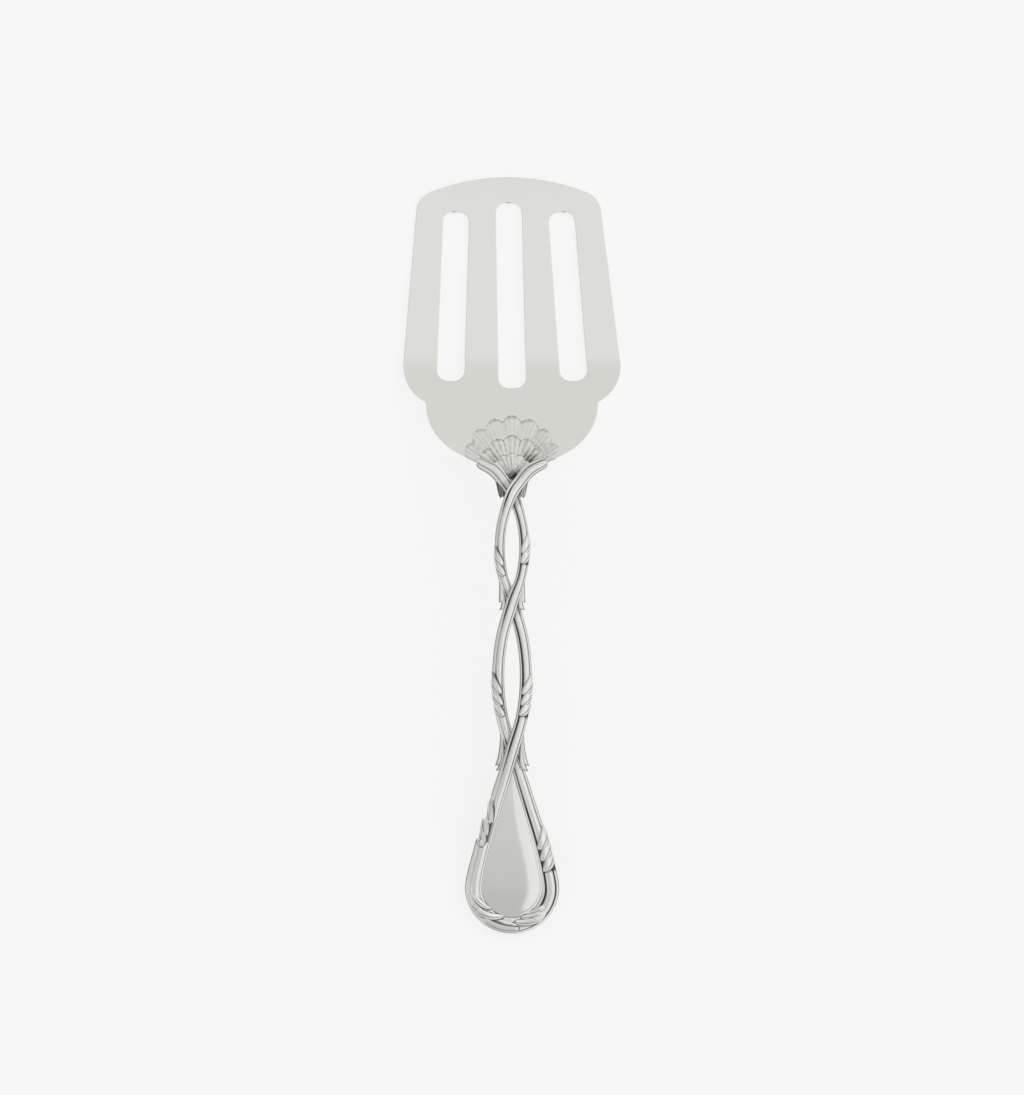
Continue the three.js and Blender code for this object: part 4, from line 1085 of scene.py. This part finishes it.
CALYX_TOP_WIDTH = 0.5 * MM
CALYX_END_WIDTH = 2.1 * MM
CALYX_TUCK = 0.25 * MM
CALYX_THICKNESS = 1.5 * MM
CALYX_TOP_THICKNESS = 0.75 * MM
CALYX_OFFSET = 0.95 * MM
CALYX_POINTS = 70
PETAL_RIM = (0.93, 1)
PETAL_RIM_DARK = 0.5
PETAL_GROOVE = 0.05 * MM
PETAL_STEP = 1 * MM
PETAL_HOOK = (0.75, 1, 0.7)
PETAL_END = 0.01
# Name, reach above and below the crossing, reach aside, lengths of the two petals, flare, shade from top to
# end on the left and on the right, share of the length that tapers, and edge of the broad reed.
CALYXES = (
    ("neck", 5 * MM, 1.4 * MM, 4.2 * MM, (0.93, 1), 1.2, ((0.95, 0.65), (0.65, 0.25)), 0.6, 0.5),
    ("middle", 7.7 * MM, 2.5 * MM, 4.3 * MM, (0.76, 1), 2.4, ((0.3, 0), (0.3, 0)), 0.08, 0.8),
    ("lower", 6.7 * MM, 6.6 * MM, 5.5 * MM, (0.87, 1), 2.4, ((0.3, 0), (0.3, 0)), 0.08, 0.8),
)


def outer_stem(y, side):
    """How far out the stems reach on one side at a distance along the fork, and the outer one's lift."""
    edges = [(side * s.middle[:, 0] + s.half, s.lift, -s.middle[:, 1]) for s in (right_stem, left_stem)]
    return max((np.interp(-y, along, reach), np.interp(-y, along, lift)) for reach, lift, along in edges)


def petal_line(hand, crossing, above, below, end_reach, lengths, flare, shades, taper, petal):
    """A petal's middle line, as a stem's is kept. Petal 0 is the outer one."""
    share = np.linspace(0, 1, CALYX_POINTS)
    width = between(CALYX_TOP_WIDTH, CALYX_END_WIDTH, share)
    edge, top_lift = outer_stem(crossing + above, hand)
    top_reach = edge - CALYX_TUCK
    aside = petal * PETAL_STEP * share * (1 - PETAL_HOOK[2] * smooth(*PETAL_HOOK[:2], share))
    reach = between(top_reach, end_reach, share**flare) - aside
    y = crossing + between(above, -below, share * lengths[petal])
    lift = between(top_lift, hand * CALYX_OFFSET, share)
    nose = (1 - (1 - ((1 - share) / taper).clip(PETAL_END, 1)) ** 2) ** 0.5
    middle = np.stack([hand * (reach - nose * width / 2), y, layer_height(y, stem_lift + lift)], 1)
    across = np.tile([-1.0, 0.0, 0.0], (CALYX_POINTS, 1))
    rise = np.tile([0.0, 0.0, 1.0], (CALYX_POINTS, 1))
    depth = between(CALYX_TOP_THICKNESS, CALYX_THICKNESS, share) / 2
    line = Stem.plain(middle, across, rise, nose * width / 2, nose * depth)
    # Painted shade on each petal, darker towards its top and on the neck's left, and a painted dark rim at
    # its end.
    shade = between(*shades[hand > 0], share)
    line.shade = (shade + PETAL_RIM_DARK * smooth(*PETAL_RIM, share)) / CROSSING_DARK
    line.groove = line.crease = 0 * share + 1
    return line


petals = {"Rings": CALYX_POINTS - 1, "Groove": PETAL_GROOVE, "Material": chased}
for (name, *sizes, reed_edge), y in zip(CALYXES, CROSSINGS):
    petals["Reed Edge"] = reed_edge
    for word, hand in (("left", -1), ("right", 1)):
        pair = [made_by(reed_tree, petal_line(hand, y, *sizes, petal).mesh(), petals) for petal in (0, 1)]
        node = f"{name}_calyx_{word}"
        dress(node + "_petals", node, "chased_silver", chased, *pair)

# Sprays
# Longer leaves that grow along the two stems and meet at the handle's end. They are cast and chased like
# the sheaths, and soldered on the front of the stems.

SPRAY_THICKNESS = 0.42 * MM
SPRAY_BLUNTNESS = 3.0
SPRAY_EDGE = 0.8
SPRAY_OVERRUN = 80
# Start and end on the quarter turn round the drop, angles from the outer side to the front, all in degrees,
# and width in millimetres.
LEFT_SPRAY = ((3, 46, 82, 156, 1.7), (4, 59, 44, 122, 1.9), (18, 76, 56, 160, 2), (32, 101, 66, 76, 1.9))
RIGHT_SPRAY = ((24, 64, 96, 163, 1.6), (30, 75, 84, 148, 1.7), (34, 86, 66, 122, 1.9))


def closed_end(stem, other):
    """A stem's line, carried on past the handle's end along the other stem's, back from its end."""
    tail = slice(-2, -2 - SPRAY_OVERRUN, -1)
    rows = [(stem.middle, other.middle), (stem.across, -other.across), (stem.rise, other.rise),
            (stem.half, other.half), (stem.depth, other.depth)]
    return Stem.plain(*(np.concatenate([own, further[tail]]) for own, further in rows))


for name, stem, other, outer, spray in (
    ("left_leaf_spray", right_stem, left_stem, 1, LEFT_SPRAY),
    ("right_leaf_spray", left_stem, right_stem, -1, RIGHT_SPRAY),
):
    bend = stem.distance_at(drop_centre)
    leaves = []
    for layer, (start, end, from_angle, to_angle, width) in enumerate(spray):
        first, last = (between(bend, stem.distance[-1], turn / 90) for turn in (start, end))
        values = {"Leaves": 1, "Pitch": 0.0, "Width": width * MM, "Layer": float(layer),
                  "Thickness": SPRAY_THICKNESS, "Bluntness": SPRAY_BLUNTNESS, "Upper Edge": SPRAY_EDGE}
        line = closed_end(stem, other)
        leaves.append(leaves_on(line, outer, first, last - first, (from_angle, to_angle), values))
    dress(name + "_leaves", name, "chased_silver", chased, *leaves)

# Studio
# The fork lies on a plain pale table under a soft white ceiling. A brighter screen stands on its right, two
# windows are beyond the tip, and the room is darker on its left. The camera looks down from high above.

FLOOR_RADIUS = 5
FLOOR_TONE = (0.38, 0.38, 0.38, 1)
FLOOR_GLOW = (0.661, 0.661, 0.661, 1)
CAMERA_HEIGHT = 2.0
SCALE_HEIGHT = 8 * MM
PIXEL = LENGTH / 759
PHOTO_HEIGHT = 1095
PHOTO_TIP_ROW = 176
SENSOR = 36
FLOOR_SIDES = 96
FLOOR_ROUGHNESS = 0.9
CEILING = 0.78
FRONT_GAIN = 0.07
FRONT_LOSS = 0.03
BACK_LOSS = 0.06
FAR_LOSS = 0.25
WINDOWS = 0.35
SCREEN = 0.36
SCREEN_BACK_LOSS = 0.7
SCREEN_END = 0.5
DUSK = 0.21
DUSK_GAIN = 0.4
DARK_SIDE = 0.2
DARK_FRONT_LOSS = 0.6
DARKEST = 0.05
BRIGHTEST = (0.8, 1)
BACK_TINT = (1, 0.992, 0.965, 1)
FAR = (0.8, 0.98)

disc = bmesh.new()
bmesh.ops.create_circle(disc, cap_ends=True, radius=FLOOR_RADIUS, segments=FLOOR_SIDES)
floor_mesh = as_mesh(disc, "floor")
floor = bpy.data.objects.new("floor", floor_mesh)
scene.collection.objects.link(floor)
table = bpy.data.materials.new("pale_table")
table.use_nodes = True
plan = Plan(table.node_tree)
shader = table.node_tree.nodes["Principled BSDF"]
shader.inputs["Base Color"].default_value = FLOOR_TONE
shader.inputs["Roughness"].default_value = FLOOR_ROUGHNESS
shader.inputs["Specular IOR Level"].default_value = 0
shader.inputs["Emission Strength"].default_value = 1
ray_kinds = ("Camera", "Glossy", "Transmission")
rays = [plan.node("ShaderNodeLightPath", {}, {}, f"Is {kind} Ray") for kind in ray_kinds]
seen = (rays[0] + rays[1] + rays[2]).clip(0.0, 1.0)
plan.link(plan.mixed(seen, (0, 0, 0, 1), FLOOR_GLOW), shader.inputs["Emission Color"])
floor_mesh.materials.append(table)
floor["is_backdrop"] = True

world = bpy.data.worlds.new("studio")
scene.world = world
world.use_nodes = True
plan = Plan(world.node_tree)
x, y, z = plan.parts(plan.node("ShaderNodeTexCoord", out="Generated"))
# Where the light comes from is read off its direction: x to the right, y beyond the tip and z up. Each
# smooth step is a soft edge of the screen, of a window or of a darker part of the room.
left = -1 * x
front = -1 * y
back = smooth(0.05, 0.6, y)
ceiling = CEILING - BACK_LOSS * back - FAR_LOSS * smooth(*FAR, y) - FRONT_LOSS * smooth(0.05, 0.2, front)
windows = smooth(0.35, 0.6, abs(x)) * smooth(0.3, 0.55, y)
screen_edge = 0.145 - 0.08 * smooth(0.5, 0.38, front) - 0.06 * smooth(0.55, 0.75, front)
dusk = smooth(0.15, 0.5, front) * smooth(-0.6, -0.3, x) * smooth(0.02, -0.02, x - screen_edge)
dusk = dusk * (1 + DUSK_GAIN * smooth(0.4, 0.66, front))
screen = smooth(0.2, 0.6, x) * (1 - SCREEN_BACK_LOSS * smooth(0.2, 0.5, y))
dark_side = smooth(0.1, 0.65, left) + smooth(0.65, 0.98, left)
dark_side = dark_side * (1 - DARK_FRONT_LOSS * smooth(0.3, 0.5, front))
light = ceiling + WINDOWS * windows + SCREEN * screen - SCREEN_END * smooth(*FAR, x)
light = light + FRONT_GAIN * smooth(0.2, 0.5, front) - DUSK * dusk - DARK_SIDE * dark_side
background = world.node_tree.nodes["Background"]
brightest = between(*BRIGHTEST, smooth(0.7, 0.9, z))
plan.link(light.clip(DARKEST, brightest), background.inputs["Strength"])
plan.link(plan.mixed(back, (1, 1, 1, 1), BACK_TINT), background.inputs["Color"])

camera = bpy.data.objects.new("camera", bpy.data.cameras.new("camera"))
scene.collection.objects.link(camera)
camera.location = (0, TIP_Y - (PHOTO_HEIGHT / 2 - PHOTO_TIP_ROW) * PIXEL, CAMERA_HEIGHT)
camera.data.sensor_width = SENSOR
camera.data.lens = SENSOR * (CAMERA_HEIGHT - SCALE_HEIGHT) / (PHOTO_HEIGHT * PIXEL)
scene.camera = camera
scene.view_settings.view_transform = "Standard"

sizes = {"cad": [list(corner) for corner in cad_box], "visual": [list(corner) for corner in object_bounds()]}
